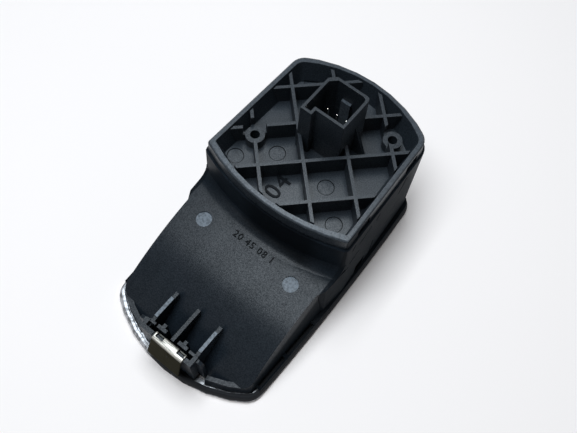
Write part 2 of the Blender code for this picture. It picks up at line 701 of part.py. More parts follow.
def wall_openings():
    """Snap slits, the foot window and the tab slot in each side wall."""
    bm = bmesh.new()
    outer_x = HOUSING_HALF_NEAR + 2 * HOUSING_WALL
    depth = 4 * HOUSING_WALL
    foot_z = FRAME_HEIGHT + GAP + FLANGE_THICKNESS + GAP
    for side in (-1, 1):
        for start, end in zip(SLITS_START, SLITS_END):
            start = Vector((side * outer_x, *start))
            end = Vector((side * outer_x, *end))
            run = start - end
            middle = (start + end) / 2
            tilt = Matrix.Rotation(math.atan2(run.z, run.y), 4, "X")
            size = Matrix.Diagonal((2 * depth, run.length, SLIT_WIDTH, 1))
            bmesh.ops.create_cube(bm, size=1.0, matrix=Matrix.Translation(middle) @ tilt @ size)
        xs = sorted((side * (outer_x - depth), side * (outer_x + depth)))
        add_box(bm, (xs[0], POCKET_Y[0], foot_z), (xs[1], POCKET_Y[1], foot_z + POCKET_HEIGHT))
        add_box(bm, (xs[0], TAB_SLOT_Y, foot_z), (xs[1], TAB_SLOT_Y + SLIT_WIDTH, foot_z + TAB_SLOT_HEIGHT))
    return add_object("wall_openings", bm)


def snap_lugs():
    """Lugs on the housing's top edge that fill the cover's snap notches."""
    corners = []
    for side in (-1, 1):
        for y in SNAPS_Y:
            half = housing_half(y)
            xs = sorted((side * (half - SNAP_DEPTH / 2 - GAP / 2), side * (half - 5 * SET_BACK)))
            length = SNAP_LENGTH / 2 - 2 * GAP
            corners.append(((xs[0], y - length, PARTING_Z - BITE),
                            (xs[1], y + length, PARTING_Z + SNAP_HEIGHT - SNAP_HEADROOM)))
    return boxes("snap_lugs", corners)


def plate_marks():
    """Flat round marks on the scoop plate's back."""
    x, y = PLATE_MARK
    low_z = plate_height(y) - PLATE_MARK_DEPTH
    return cylinders("plate_marks", [(side * x, y, low_z, PLATE_Z + BITE, MARK_RADIUS) for side in (-1, 1)])


def tower_recess():
    """The pocket outside the clip tower."""
    step_x = TOWER_HALF - BITE
    step_y = TOWER_OUTER_Y + BITE
    wing_y = WING_Y + BITE
    plan = [Vector(p) for p in (
        (-TOWER_RECESS_HALF, -REACH), (TOWER_RECESS_HALF, -REACH), (TOWER_RECESS_HALF, wing_y),
        (step_x, wing_y), (step_x, step_y), (-step_x, step_y), (-step_x, wing_y),
        (-TOWER_RECESS_HALF, wing_y))]
    return loft("tower_recess", [(plan, 0.0), (plan, REACH)])


def tower_wall():
    """The wall that the spring clip grips, with cheeks at its ends and a seat for the clip."""
    low_z = FRAME_LEDGE_HEIGHT + GAP + BITE
    outer_x = TOWER_HALF
    inner_x = TOWER_HALF - CHEEK_WALL
    outer_y = TOWER_OUTER_Y
    inner_y = TOWER_OUTER_Y + TOWER_WALL
    cheek_y = TOWER_OUTER_Y + CHEEK_DEPTH
    plan = [Vector(p) for p in (
        (-outer_x, outer_y), (outer_x, outer_y), (outer_x, cheek_y), (inner_x, cheek_y),
        (inner_x, inner_y), (-inner_x, inner_y), (-inner_x, cheek_y), (-outer_x, cheek_y))]
    wall = loft("tower_wall", [(plan, low_z), (plan, TOWER_TOP)])
    cut(wall, boxes("clip_seat", [((CLIP_TOP_X[0] - 2 * GAP, -REACH, TOWER_TOP - CLIP_SHEET),
                                   (CLIP_TOP_X[1] + GAP, REACH, REACH))]))
    return wall


def tower_wings():
    """Wing walls beside the tower, with a bevelled outer corner."""
    bm = bmesh.new()
    low_z = FRAME_LEDGE_HEIGHT + GAP + 2 * BITE
    inner_x = TOWER_HALF - CHEEK_WALL / 2
    knee = WING_CORNER * KNEE
    for side in (-1, 1):
        plan = ((inner_x, low_z), (WING_HALF, low_z), (WING_HALF, WING_TOP - WING_CORNER),
                (WING_HALF - knee, WING_TOP - knee), (WING_HALF - WING_CORNER, WING_TOP),
                (inner_x, WING_TOP))
        face = bm.faces.new([bm.verts.new((side * x, WING_Y, z)) for x, z in plan])
        pushed = bmesh.ops.extrude_face_region(bm, geom=[face])["geom"]
        moved = [v for v in pushed if isinstance(v, bmesh.types.BMVert)]
        bmesh.ops.translate(bm, verts=moved, vec=(0, WING_WALL, 0))
    return add_object("tower_wings", bm)


def gusset_ribs():
    """Three thin ribs behind the tower, the outer two with a raised middle stretch."""
    bm = bmesh.new()
    for i in (-1, 0, 1):
        x = i * GUSSET_PITCH
        start_y = TOWER_OUTER_Y + (TOWER_WALL / 2 if i else TOWER_WALL + CLIP_SHEET + 3 * GAP)
        profile = [(start_y, WEB_Z - BITE), (plate_reach(WEB_Z + BITE), WEB_Z - BITE)]
        profile += [(y, plate_height(y) - BITE) for y in (GUSSET_KNEE_Y, GUSSET_END_Y)]
        profile += [(GUSSET_END_Y, GUSSET_TOP)]
        if i:
            profile += [(GUSSET_PAD_Y[1], GUSSET_TOP), (GUSSET_PAD_Y[1], GUSSET_TOP + GUSSET_PAD),
                        (GUSSET_PAD_Y[0], GUSSET_TOP + GUSSET_PAD), (GUSSET_PAD_Y[0], GUSSET_TOP)]
        profile += [(start_y, GUSSET_TOP)]
        face = bm.faces.new([bm.verts.new((x - GUSSET_WALL / 2, y, z)) for y, z in profile])
        pushed = bmesh.ops.extrude_face_region(bm, geom=[face])["geom"]
        moved = [v for v in pushed if isinstance(v, bmesh.types.BMVert)]
        bmesh.ops.translate(bm, verts=moved, vec=(GUSSET_WALL, 0, 0))
    return add_object("gusset_ribs", bm)


def tower_posts():
    """Two T-shaped posts in the bays between the ribs."""
    bar_y = TOWER_OUTER_Y + TOWER_WALL + CLIP_SHEET + 3 * GAP
    low_z = WEB_Z - BITE
    stem_y = bar_y + POST_BAR[1] / 2
    stem_low_z = plate_height(stem_y) - 5 * SET_BACK
    bar_far_y = bar_y + POST_BAR[1]
    bar_half = POST_BAR[0] / 2
    stem_half = POST_STEM[0] / 2
    bars = []
    stems = []
    for x in (-POST_X, POST_X):
        bars.append(((x - bar_half, bar_y, low_z), (x + bar_half, bar_far_y, POST_TOP)))
        stems.append(((x - stem_half, stem_y, stem_low_z),
                      (x + stem_half, bar_far_y + POST_STEM[1], POST_TOP - SET_BACK)))
    hooks = []
    for side in (-1, 1):
        xs = sorted((side * HOOK_X[0], side * HOOK_X[1]))
        hooks.append(((xs[0], HOOK_Y[0], low_z), (xs[1], HOOK_Y[1], POST_TOP)))
    return boxes("post_bars", bars), boxes("post_stems", stems), boxes("hooks", hooks)


def make_carrier():
    """The carrier moulding. Its form is joined first and hollowed afterwards."""
    carrier = scoop_form()
    join(carrier, housing_block(), near_wall_fillet(), flange(), spigot())
    cut(carrier, scoop_well())
    join(carrier, end_wall())
    cut(carrier, frame_seat())
    cut(carrier, housing_hollow(), *bulkhead_cuts(), tower_recess())
    join(carrier, tower_wall(), tower_wings(), gusset_ribs(), *tower_posts(), ledges(), snap_lugs())
    cut(carrier, wall_openings(), plate_marks())
    finish(carrier, make_material("black_nylon", (0.035, 0.038, 0.042), 0.55))


# Spring clip

def make_spring_clip():
    """A bent strip of spring steel over the tower wall, with slots across its top bend."""
    inner_y = TOWER_OUTER_Y + TOWER_WALL + GAP + CLIP_SHEET / 2
    outer_y = TOWER_OUTER_Y - GAP - CLIP_SHEET / 2
    top_z = TOWER_TOP - CLIP_SHEET + GAP + CLIP_SHEET / 2
    bend = CLIP_BEND
    path = [(inner_y, top_z - CLIP_INNER_DROP), (inner_y, top_z - bend / 2),
            (inner_y - bend / 2, top_z), (outer_y + bend / 2, top_z), (outer_y, top_z - bend / 2),
            (outer_y - bend / 2, top_z - 2 * bend), (CLIP_FOOT_Y, CLIP_FOOT_Z + bend),
            (CLIP_FOOT_Y + bend / 2, CLIP_FOOT_Z)]
    bm = bmesh.new()
    rows = []
    for y, z in path:
        share = min(max((outer_y - y) / (outer_y - CLIP_FOOT_Y), 0.0), 1.0)
        rows.append([bm.verts.new((top + (foot - top) * share, y, z))
                     for top, foot in zip(CLIP_TOP_X, CLIP_FOOT_X)])
    for upper, lower in zip(rows, rows[1:]):
        bm.faces.new((upper[0], upper[1], lower[1], lower[0]))
    clip = add_object("spring_clip", bm, PARTS)
    sheet = clip.modifiers.new("sheet", "SOLIDIFY")
    sheet.thickness = CLIP_SHEET
    sheet.offset = 0.0
    slot_low = (inner_y - CLIP_SLOT_REACH, top_z - CLIP_SLOT_DEPTH)
    slot_high = (inner_y + CLIP_SHEET, REACH)
    cut(clip, boxes("clip_slots", [((x, *slot_low), (x + CLIP_SLOT, *slot_high))
                                   for x in (-POST_X, POST_X)]))
    leaf_top = (outer_y - bend / 2, top_z - 2 * bend)
    leaf_foot = (CLIP_FOOT_Y, CLIP_FOOT_Z + bend)
    join(clip, clip_barb(leaf_top, leaf_foot))
    finish(clip, make_material("spring_steel", (0.34, 0.33, 0.30), 0.35, 1.0))


def clip_barb(leaf_top, leaf_foot):
    """The small barb on the clip's outer leaf, between two points of the leaf in Y and Z."""
    x, width, drop = CLIP_BARB
    share = drop / (leaf_top[1] - leaf_foot[1])
    y = leaf_top[0] + (leaf_foot[0] - leaf_top[0]) * share
    bm = bmesh.new()
    place = Matrix.Translation((x, y - CLIP_BARB_RISE / 4, leaf_top[1] - drop))
    upright = Matrix.Rotation(math.pi / 2, 4, "X")
    bmesh.ops.create_cone(bm, cap_ends=True, segments=3, radius1=width / 2, radius2=width / 8,
                          depth=CLIP_BARB_RISE + CLIP_SHEET, matrix=place @ upright)
    return add_object("clip_barb", bm)


# Base cover

def recess_at(z, inset=0.0):
    """Outline of the cover's recess at height z."""
    shape = HOUSING.grown(-RIM_WIDTH - RECESS_DRAFT * (RIM_Z - z) - inset)
    return replace(shape, far_y=shape.far_y + RIM_THIN).points()


def cover_block():
    """The lid: a band over the housing's wall, a plug inside it and the recessed floor."""
    band_low = PARTING_Z + GAP
    plug_growth = HOUSING_DRAFT * (RIM_Z - FLOOR_Z)
    cover = loft("base_cover", [(housing_at(band_low), band_low), (HOUSING.points(), RIM_Z - RIM_BEVEL),
                                (HOUSING.grown(-RIM_BEVEL).points(), RIM_Z)], PARTS)
    plug_shape = HOUSING.grown(-PLUG_INSET)
    plug = loft("plug", [(plug_shape.points(), FLOOR_Z - FLOOR_WALL),
                         (plug_shape.points(), band_low + plug_growth)])
    recess = loft("recess", [(recess_at(FLOOR_Z), FLOOR_Z), (recess_at(RIM_Z + BITE), RIM_Z + BITE)])
    join(cover, plug)
    cut(cover, recess)
    return cover


def diagonal_ribs(name, side):
    """Parallel ribs along one diagonal of the floor."""
    bm = bmesh.new()
    low_z = FLOOR_Z - FLOOR_WALL / 2
    high_z = RIM_Z - RIB_DROP
    turn = Matrix.Rotation(side * math.pi / 4, 4, "Z")
    for i in range(RIB_COUNT):
        offset = turn @ Vector((0.0, RIB_START + i * RIB_PITCH, 0.0))
        place = Matrix.Translation(offset + Vector((0, 0, (low_z + high_z) / 2)))
        size = Matrix.Diagonal((4 * HOUSING_HALF_NEAR, RIB_WALL, high_z - low_z, 1))
        bmesh.ops.create_cube(bm, size=1.0, matrix=place @ turn @ size)
    return add_object(name, bm)


def rib_grid():
    """Both families of ribs, trimmed to the recess and cut down around the bosses."""
    grid = diagonal_ribs("ribs_a", 1)
    join(grid, diagonal_ribs("ribs_b", -1))
    inside = HOUSING.grown(-PLUG_INSET - 5 * SET_BACK)
    keep(grid, loft("rib_limit", [(inside.points(), 0.0), (inside.points(), 2 * RIM_Z)]))
    shroud_room = loft("shroud_room", [(shroud_plan(z, SHROUD_WALL / 2), z) for z in (FLOOR_Z, 2 * RIM_Z)])
    low_z = RIM_Z - BOSS_DROP - 5 * SET_BACK
    clearance = [(x, y, low_z, REACH, BOSS_CLEAR_RADIUS) for x, y in BOSSES]
    cut(grid, shroud_room, cylinders("boss_clearance", clearance))
    return grid


def cover_bosses():
    """Bosses on the floor, with standoffs below it that reach the circuit board."""
    standoff_low = BOARD_Z + BOARD_WALL + GAP
    root_z = FLOOR_Z - FLOOR_WALL / 2
    return (cylinders("bosses", [(x, y, root_z, RIM_Z - BOSS_DROP, BOSS_RADIUS) for x, y in BOSSES]),
            cylinders("standoffs", [(x, y, standoff_low, root_z, STANDOFF_RADIUS) for x, y in BOSSES]))


def boss_holes():
    low_z = RIM_Z - BOSS_DROP - BOSS_HOLE_DEPTH
    return cylinders("boss_holes", [(x, y, low_z, REACH, BOSS_HOLE_RADIUS) for x, y in BOSSES])


def shroud_plan(z, inset=0.0):
    """The shroud's outline at height z, with its key step and its cut corner."""
    grow = SHROUD_DRAFT * (SHROUD_TOP - z) - inset
    left = SHROUD_LEFT - grow
    right = SHROUD_RIGHT + grow
    near = SHROUD_NEAR_Y - grow
    key_y = SHROUD_KEY_Y - grow
    far = SHROUD_FAR_Y + grow
    key_x = SHROUD_KEY_X + grow
    knee = SHROUD_CORNER * KNEE
    return [Vector(p) for p in (
        (left, near), (key_x, near), (key_x, key_y), (right, key_y),
        (right, far - SHROUD_CORNER), (right - knee, far - knee), (right - SHROUD_CORNER, far),
        (left + SHROUD_CHAMFER, far), (left, far - SHROUD_CHAMFER))]


def shroud():
    return loft("shroud", [(shroud_plan(z), z) for z in (FLOOR_Z - FLOOR_WALL / 2, SHROUD_TOP)])


def socket():
    """The shroud's inside, down to the floor."""
    return loft("socket", [(shroud_plan(z, SHROUD_WALL), z) for z in (FLOOR_Z, SHROUD_TOP + BITE)])


def socket_rib():
    """The plain rib on the socket's far wall."""
    width, depth, top_z = SOCKET_RIB
    wall_y = SHROUD_FAR_Y - SHROUD_WALL
    return boxes("socket_rib", [((PIN_CENTRE_X - width / 2, wall_y - depth, FLOOR_Z - BITE),
                                 (PIN_CENTRE_X + width / 2, wall_y + BITE, top_z))])


def shroud_gussets():
    """Triangular gussets from the shroud's right and left walls to the floor."""
    wall, foot, height = SHROUD_GUSSET
    bm = bmesh.new()
    low_z = FLOOR_Z - FLOOR_WALL / 2
    for side, wall_x, y in zip((1, -1), (SHROUD_RIGHT, SHROUD_LEFT), SHROUD_GUSSETS_Y):
        start_x = wall_x - side * SHROUD_WALL / 2
        foot_x = wall_x + side * foot
        profile = ((start_x, low_z), (foot_x, low_z), (foot_x, FLOOR_Z + wall / 2),
                   (wall_x, FLOOR_Z + height), (start_x, FLOOR_Z + height))
        face = bm.faces.new([bm.verts.new((x, y - wall / 2, z)) for x, z in profile])
        pushed = bmesh.ops.extrude_face_region(bm, geom=[face])["geom"]
        moved = [v for v in pushed if isinstance(v, bmesh.types.BMVert)]
        bmesh.ops.translate(bm, verts=moved, vec=(0, wall, 0))
    return add_object("shroud_gussets", bm)


def pin_places():
    return [(PIN_CENTRE_X + i * PIN_PITCH, y) for y in PIN_ROWS_Y for i in (-1, 0, 1)]


def pin_holes(name, low_z, high_z):
    half = PIN_SIZE / 2 + GAP
    return boxes(name, [((x - half, y - half, low_z), (x + half, y + half, high_z)) for x, y in pin_places()])


def snap_notches():
    """Notches in the cover's band for the housing's lugs."""
    corners = []
    for side in (-1, 1):
        for y in SNAPS_Y:
            half = housing_half(y)
            xs = sorted((side * (half - SNAP_DEPTH), side * (half + SNAP_DEPTH)))
            corners.append(((xs[0], y - SNAP_LENGTH / 2, 0.0),
                            (xs[1], y + SNAP_LENGTH / 2, PARTING_Z + SNAP_HEIGHT)))
    return boxes("snap_notches", corners)


def floor_marks():
    """Shallow round marks in the recess floor."""
    low_z = FLOOR_Z - MARK_DEPTH
    return cylinders("floor_marks", [(x, y, low_z, FLOOR_Z + BITE, MARK_RADIUS) for x, y in FLOOR_MARKS])


def make_base_cover():
    cover = cover_block()
    bosses, standoffs = cover_bosses()
    join(cover, rib_grid(), bosses, standoffs, shroud(), shroud_gussets())
    cut(cover, socket())
    join(cover, socket_rib())
    cut(cover, boss_holes(), pin_holes("floor_holes", 0.0, RIM_Z), snap_notches(), floor_marks())
    finish(cover, make_material("black_cover_plastic", (0.045, 0.049, 0.055), 0.48))


# Connector pins

def make_pins():
    """Square pins, soldered in the board and standing in the shroud, with tapered tips."""
    material = make_material("tinned_brass", (0.72, 0.71, 0.68), 0.28, 1.0)
    for number, (x, y) in enumerate(pin_places(), start=1):
        half = PIN_SIZE / 2
        low_z = BOARD_Z - PIN_TAIL
        square = [Vector(p) for p in ((x - half, y - half), (x + half, y - half),
                                      (x + half, y + half), (x - half, y + half))]
        middle = Vector((x, y))
        tip = [middle + (p - middle) * PIN_TIP for p in square]
        pin = loft(f"terminal_pin_{number}", [(tip, low_z), (square, low_z + PIN_TAPER / 2),
                                              (square, PIN_TIP_Z - PIN_TAPER), (tip, PIN_TIP_Z)], PARTS)
        finish(pin, material)


# Circuit board and its components

def make_circuit_board():
    shape = housing_at(BOARD_Z, HOUSING_WALL + BOARD_INSET)
    board = loft("circuit_board", [(shape, BOARD_Z), (shape, BOARD_Z + BOARD_WALL)], PARTS)
    cut(board, pin_holes("board_holes", 0.0, REACH))
    finish(board, make_material("green_laminate", (0.05, 0.20, 0.10), 0.45))


def plunger_places():
    return {"plunger_down": PIVOT_Y - PLUNGER_LEVER, "plunger_up": PIVOT_Y + PLUNGER_LEVER}


def make_dome_mat():
    """A silicone sheet under the board with a dome for each plunger."""
    high_z = BOARD_Z - GAP
    low_z = high_z - MAT_SHEET
    places = list(plunger_places().values())
    mat = boxes("dome_mat", [((-MAT_HALF_WIDTH, min(places) - MAT_MARGIN, low_z),
                              (MAT_HALF_WIDTH, max(places) + MAT_MARGIN, high_z))], PARTS)
    bm = bmesh.new()
    for y in places:
        add_cone(bm, 0.0, y, low_z - DOME_HEIGHT, low_z + MAT_SHEET / 2, DOME_TOP_RADIUS, DOME_RADIUS)
    join(mat, add_object("domes", bm))
    finish(mat, make_material("silicone", (0.55, 0.56, 0.55), 0.6))


def mounted(name, place, size, material):
    """A box that hangs from the board's front face."""
    face_z = BOARD_Z - GAP
    low = (place[0] - size[0] / 2, place[1] - size[1] / 2, face_z - size[2])
    high = (place[0] + size[0] / 2, place[1] + size[1] / 2, face_z)
    finish(boxes(name, [(low, high)], PARTS), material)


def make_components():
    """The lamp, the driver, a capacitor and the small parts on the board's front face."""
    black = make_material("component_black", (0.03, 0.03, 0.03), 0.4)
    white = make_material("component_white", (0.75, 0.74, 0.70), 0.35)
    mounted("lighting_led", (LAMP_X, PIVOT_Y), LAMP_SIZE, white)
    mounted("driver_chip", CHIP_PLACE, CHIP_SIZE, black)
    mounted("resistor_a", (RESISTOR_X, RESISTORS_Y[0]), RESISTOR_SIZE, black)
    mounted("resistor_b", (RESISTOR_X, RESISTORS_Y[1]), RESISTOR_SIZE, black)
    mounted("diode", DIODE_PLACE, DIODE_SIZE, black)
    face_z = BOARD_Z - GAP
    can = cylinders("filter_capacitor", [(*CAN_PLACE, face_z - CAN_HEIGHT, face_z, CAN_RADIUS)], PARTS)
    finish(can, make_material("component_metal", (0.6, 0.6, 0.62), 0.3, 1.0))


# Guide frame, plungers and light guide

def guide_plate():
    top_z = GUIDE_Z + GUIDE_WALL
    wall = HOUSING_WALL + GAP
    shape = replace(housing_shape(top_z).grown(-wall), far_y=GUIDE_FAR_Y, far_bulge=0.0)
    return loft("guide_frame", [(shape.points(), GUIDE_Z), (shape.points(), top_z)], PARTS)


def make_guide_frame():
    """The inner moulding that guides the plungers, carries the rocker's ears and props the board."""
    guide = guide_plate()
    top_z = GUIDE_Z + GUIDE_WALL
    bore = PLUNGER_RADIUS + GAP
    bosses = [(0.0, y, GUIDE_Z + GUIDE_WALL / 2, top_z + GUIDE_BOSS_HEIGHT, bore + GUIDE_BOSS_WALL)
              for y in plunger_places().values()]
    posts = [(side * x, y, GUIDE_Z + GUIDE_WALL / 2, BOARD_Z - GAP, GUIDE_POST_RADIUS)
             for side in (-1, 1) for x, y in GUIDE_POSTS]
    inner_x = ROCKER_HALF + ROCKER_SWING_GAP / 2
    ears = []
    for side in (-1, 1):
        xs = sorted((side * inner_x, side * (inner_x + EAR_WALL)))
        ears.append(((xs[0], PIVOT_Y - EAR_LENGTH / 2, PIVOT_Z - EAR_LENGTH / 2),
                     (xs[1], PIVOT_Y + EAR_LENGTH / 2, GUIDE_Z + GUIDE_WALL / 2)))
    join(guide, cylinders("guide_bosses", bosses + posts), boxes("ears", ears))
    bores = [(0.0, y, 0.0, REACH, bore) for y in plunger_places().values()]
    lamp = [(LAMP_X, PIVOT_Y, 0.0, REACH, ROD_RADIUS + GAP)]
    hole = cross_pin("ear_holes", -REACH, REACH, PIVOT_Y, PIVOT_Z, TRUNNION_RADIUS + TRUNNION_GAP)
    cut(guide, cylinders("guide_bores", bores + lamp), hole)
    finish(guide, make_material("natural_nylon", (0.62, 0.60, 0.54), 0.5))


def make_plungers():
    """Stepped round plungers, headed at the dome end."""
    material = make_material("grey_acetal", (0.32, 0.33, 0.34), 0.4)
    dome_tip = BOARD_Z - GAP - MAT_SHEET - DOME_HEIGHT
    low_z = PAD_TOP_Z + GAP
    high_z = dome_tip - GAP
    for name, y in plunger_places().items():
        bm = bmesh.new()
        add_cone(bm, 0.0, y, low_z, high_z, PLUNGER_RADIUS, PLUNGER_RADIUS)
        plunger = add_object(name, bm, PARTS)
        join(plunger, cylinders(f"{name}_head", [(0.0, y, high_z - PLUNGER_HEAD, high_z + SET_BACK,
                                                  PLUNGER_HEAD_RADIUS)]))
        put_origin(plunger, (0.0, y, low_z))
        finish(plunger, material)


def make_light_guide():
    """A clear rod that carries the lamp's light through the guide frame."""
    high_z = BOARD_Z - GAP - LAMP_SIZE[2] - GAP
    rod = cylinders("light_guide", [(LAMP_X, PIVOT_Y, GUIDE_Z - ROD_DROP, high_z, ROD_RADIUS)], PARTS)
    low_z = GUIDE_Z + GUIDE_WALL + GAP
    join(rod, cylinders("guide_collar", [(LAMP_X, PIVOT_Y, low_z, low_z + COLLAR_HEIGHT, COLLAR_RADIUS)]))
    finish(rod, make_material("clear_acrylic", (0.85, 0.88, 0.9), 0.1))


# Rocker and its lens

def rocker_shell():
    """The cap: a dished face with a rolled lip, hollow from behind."""
    face = ROCKER_FACE_Z
    back = face + ROCKER_DEPTH
    lip_back = face + ROCKER_WALL + ROCKER_LIP_DEPTH
    outline = [(ROCKER_LIP_Y + ROCKER_DISH, face + ROCKER_DISH / 3),
               (PIVOT_Y - PLUNGER_LEVER, face + ROCKER_DISH), (ROCKER_FAR_Y - ROCKER_DISH, face),
               (ROCKER_FAR_Y, face + ROCKER_DISH), (ROCKER_FAR_Y, back),
               (HOUSING_NEAR_Y + 2 * HOUSING_WALL, back), (HOUSING_NEAR_Y - BITE, lip_back),
               (ROCKER_LIP_Y + ROCKER_DISH, lip_back), (ROCKER_LIP_Y, lip_back - ROCKER_DISH),
               (ROCKER_LIP_Y, face + ROCKER_DISH)]
    cap = side_profile("window_rocker", outline, ROCKER_HALF, PARTS)
    edges = cap.modifiers.new("edges", "BEVEL")
    edges.width = ROCKER_EDGE
    edges.segments = 1
    edges.limit_method = "ANGLE"
    edges.angle_limit = math.radians(60)
    inner_half = ROCKER_HALF - ROCKER_WALL
    floor_z = face + ROCKER_WALL + ROCKER_DISH
    cut(cap, boxes("rocker_hollow", [((-inner_half, HOUSING_NEAR_Y - 5 * BITE, floor_z),
                                      (inner_half, ROCKER_FAR_Y - ROCKER_WALL, REACH))]))
    return cap, floor_z


def side_pins(name, span, radius):
    """A cylinder on the rocker's axis at each side, between two distances from the middle."""
    bm = bmesh.new()
    across = Matrix.Rotation(math.pi / 2, 4, "Y")
    for side in (-1, 1):
        middle = Vector((side * sum(span) / 2, PIVOT_Y, PIVOT_Z))
        bmesh.ops.create_cone(bm, cap_ends=True, segments=ROUND_STEPS, radius1=radius, radius2=radius,
                              depth=span[1] - span[0], matrix=Matrix.Translation(middle) @ across)
    return add_object(name, bm)


def make_rocker():
    """The rocker with its side hubs, trunnions and the two pads that press the plungers."""
    cap, floor_z = rocker_shell()
    hub_span = (ROCKER_HALF - ROCKER_WALL - SET_BACK, ROCKER_HALF - SET_BACK)
    trunnion_span = (ROCKER_HALF - ROCKER_WALL / 2, ROCKER_HALF + ROCKER_SWING_GAP / 2 + EAR_WALL)
    half = PAD_SIZE / 2
    pads = boxes("pads", [((-half, y - half, floor_z - BITE), (half, y + half, PAD_TOP_Z))
                          for y in plunger_places().values()])
    join(cap, side_pins("hubs", hub_span, HUB_RADIUS), side_pins("trunnions", trunnion_span, TRUNNION_RADIUS),
         pads)
    length, width = LENS_SIZE
    cut(cap, boxes("lens_slot", [((-length / 2 - GAP, LENS_Y - width / 2 - GAP, -REACH),
                                  (length / 2 + GAP, LENS_Y + width / 2 + GAP, REACH))]))
    put_origin(cap, (0.0, PIVOT_Y, PIVOT_Z))
    finish(cap, make_material("satin_black", (0.02, 0.021, 0.023), 0.38))


def make_rocker_lens():
    """A clear bar set into the rocker's face."""
    length, width = LENS_SIZE
    low_z = ROCKER_FACE_Z + ROCKER_DISH
    lens = boxes("rocker_lens", [((-length / 2, LENS_Y - width / 2, low_z),
                                  (length / 2, LENS_Y + width / 2, low_z + LENS_DEPTH))], PARTS)
    put_origin(lens, (0.0, PIVOT_Y, PIVOT_Z))
    finish(lens, make_material("milky_lens", (0.8, 0.82, 0.8), 0.25))


# Front panel

def make_front_panel():
    """The panel beside and beyond the rocker, with a skirt inside the housing's walls."""
    shape = housing_shape(PANEL_SKIRT_TOP).grown(-HOUSING_WALL - 2 * GAP)
    shape = replace(shape, near_y=HOUSING_NEAR_Y + GAP, far_y=HOUSING.far_y - FRAME_LEDGE + GAP)
    face_z = PANEL_FACE_Z
    panel = loft("front_panel", [(shape.grown(-PANEL_EDGE).points(), face_z),
                                 (shape.points(), face_z + PANEL_EDGE),
                                 (shape.points(), PANEL_SKIRT_TOP)], PARTS)
    inner = shape.grown(-PANEL_SKIRT)
    inside = loft("panel_inside", [(inner.points(), face_z + PANEL_WALL), (inner.points(), REACH)])
    half = ROCKER_HALF + ROCKER_SWING_GAP / 2
    opening_y = ROCKER_FAR_Y + ROCKER_SWING_GAP
    opening = boxes("rocker_opening", [((-half, -REACH, -REACH), (half, opening_y, REACH))])
    low_skirt = boxes("near_skirt", [((-REACH, -REACH, face_z + PANEL_WALL),
                                      (REACH, HOUSING_NEAR_Y + HOUSING_WALL + GAP, REACH))])
    ear_half = half + EAR_WALL + GAP
    ear_room = boxes("ear_room", [((-ear_half, PIVOT_Y - EAR_LENGTH / 2 - GAP, face_z + PANEL_WALL),
                                   (ear_half, PIVOT_Y + EAR_LENGTH / 2 + GAP, REACH))])
    cut(panel, inside, opening, low_skirt, ear_room)
    finish(panel, make_material("gloss_black", (0.012, 0.012, 0.014), 0.15))


def main():
    make_chrome_frame()
    make_carrier()
    make_spring_clip()
    make_base_cover()
    make_pins()
    make_circuit_board()
    make_dome_mat()
    make_components()
    make_guide_frame()
    make_plungers()
    make_light_guide()
    make_rocker()
    make_rocker_lens()
    make_front_panel()


clear_scene()
PARTS = make_collection(COLLECTION_NAME)
CUTTERS = make_collection("cutters")
main()
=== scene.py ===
"""Visual model of a power window switch that lies on its front face with its connector up.

The frame gives every solid. Each visible moulding gets a piece with merged corners, rounded
edges and smooth curves, and a finish with the grain, gloss and marks of the real part, and some painted
shade and sheen.
"""
from __future__ import annotations

import logging
import math
from dataclasses import dataclass, field
from enum import Enum
from typing import Any, Union

import bpy
from mathutils import Matrix, Vector

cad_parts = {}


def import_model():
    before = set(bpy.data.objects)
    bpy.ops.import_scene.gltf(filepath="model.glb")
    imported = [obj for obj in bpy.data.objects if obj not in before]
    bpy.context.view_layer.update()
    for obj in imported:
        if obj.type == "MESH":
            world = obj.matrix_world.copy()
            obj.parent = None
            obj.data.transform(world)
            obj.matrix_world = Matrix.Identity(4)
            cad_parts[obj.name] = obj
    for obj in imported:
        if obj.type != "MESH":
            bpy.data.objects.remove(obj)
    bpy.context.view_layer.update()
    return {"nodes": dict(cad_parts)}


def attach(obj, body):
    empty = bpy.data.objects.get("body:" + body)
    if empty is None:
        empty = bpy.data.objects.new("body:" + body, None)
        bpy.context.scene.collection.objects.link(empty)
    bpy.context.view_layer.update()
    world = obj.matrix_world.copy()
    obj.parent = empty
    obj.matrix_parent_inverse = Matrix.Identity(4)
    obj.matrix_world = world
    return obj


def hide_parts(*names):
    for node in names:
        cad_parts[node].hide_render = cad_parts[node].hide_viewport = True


LOG = logging.getLogger("window_switch")
MM = 0.001
Colour = tuple[float, float, float]
Ramp = tuple[float, float]  # where a mask is 0, and where it is 1


def shade(colour: Colour, share: float) -> Colour:
    """A colour made darker or lighter by a share of itself."""
    return tuple(share * part for part in colour)


class Body(Enum):
    """The bodies of the frame that pieces ride on."""

    SWITCH = "switch_body"
    ROCKER = "rocker"


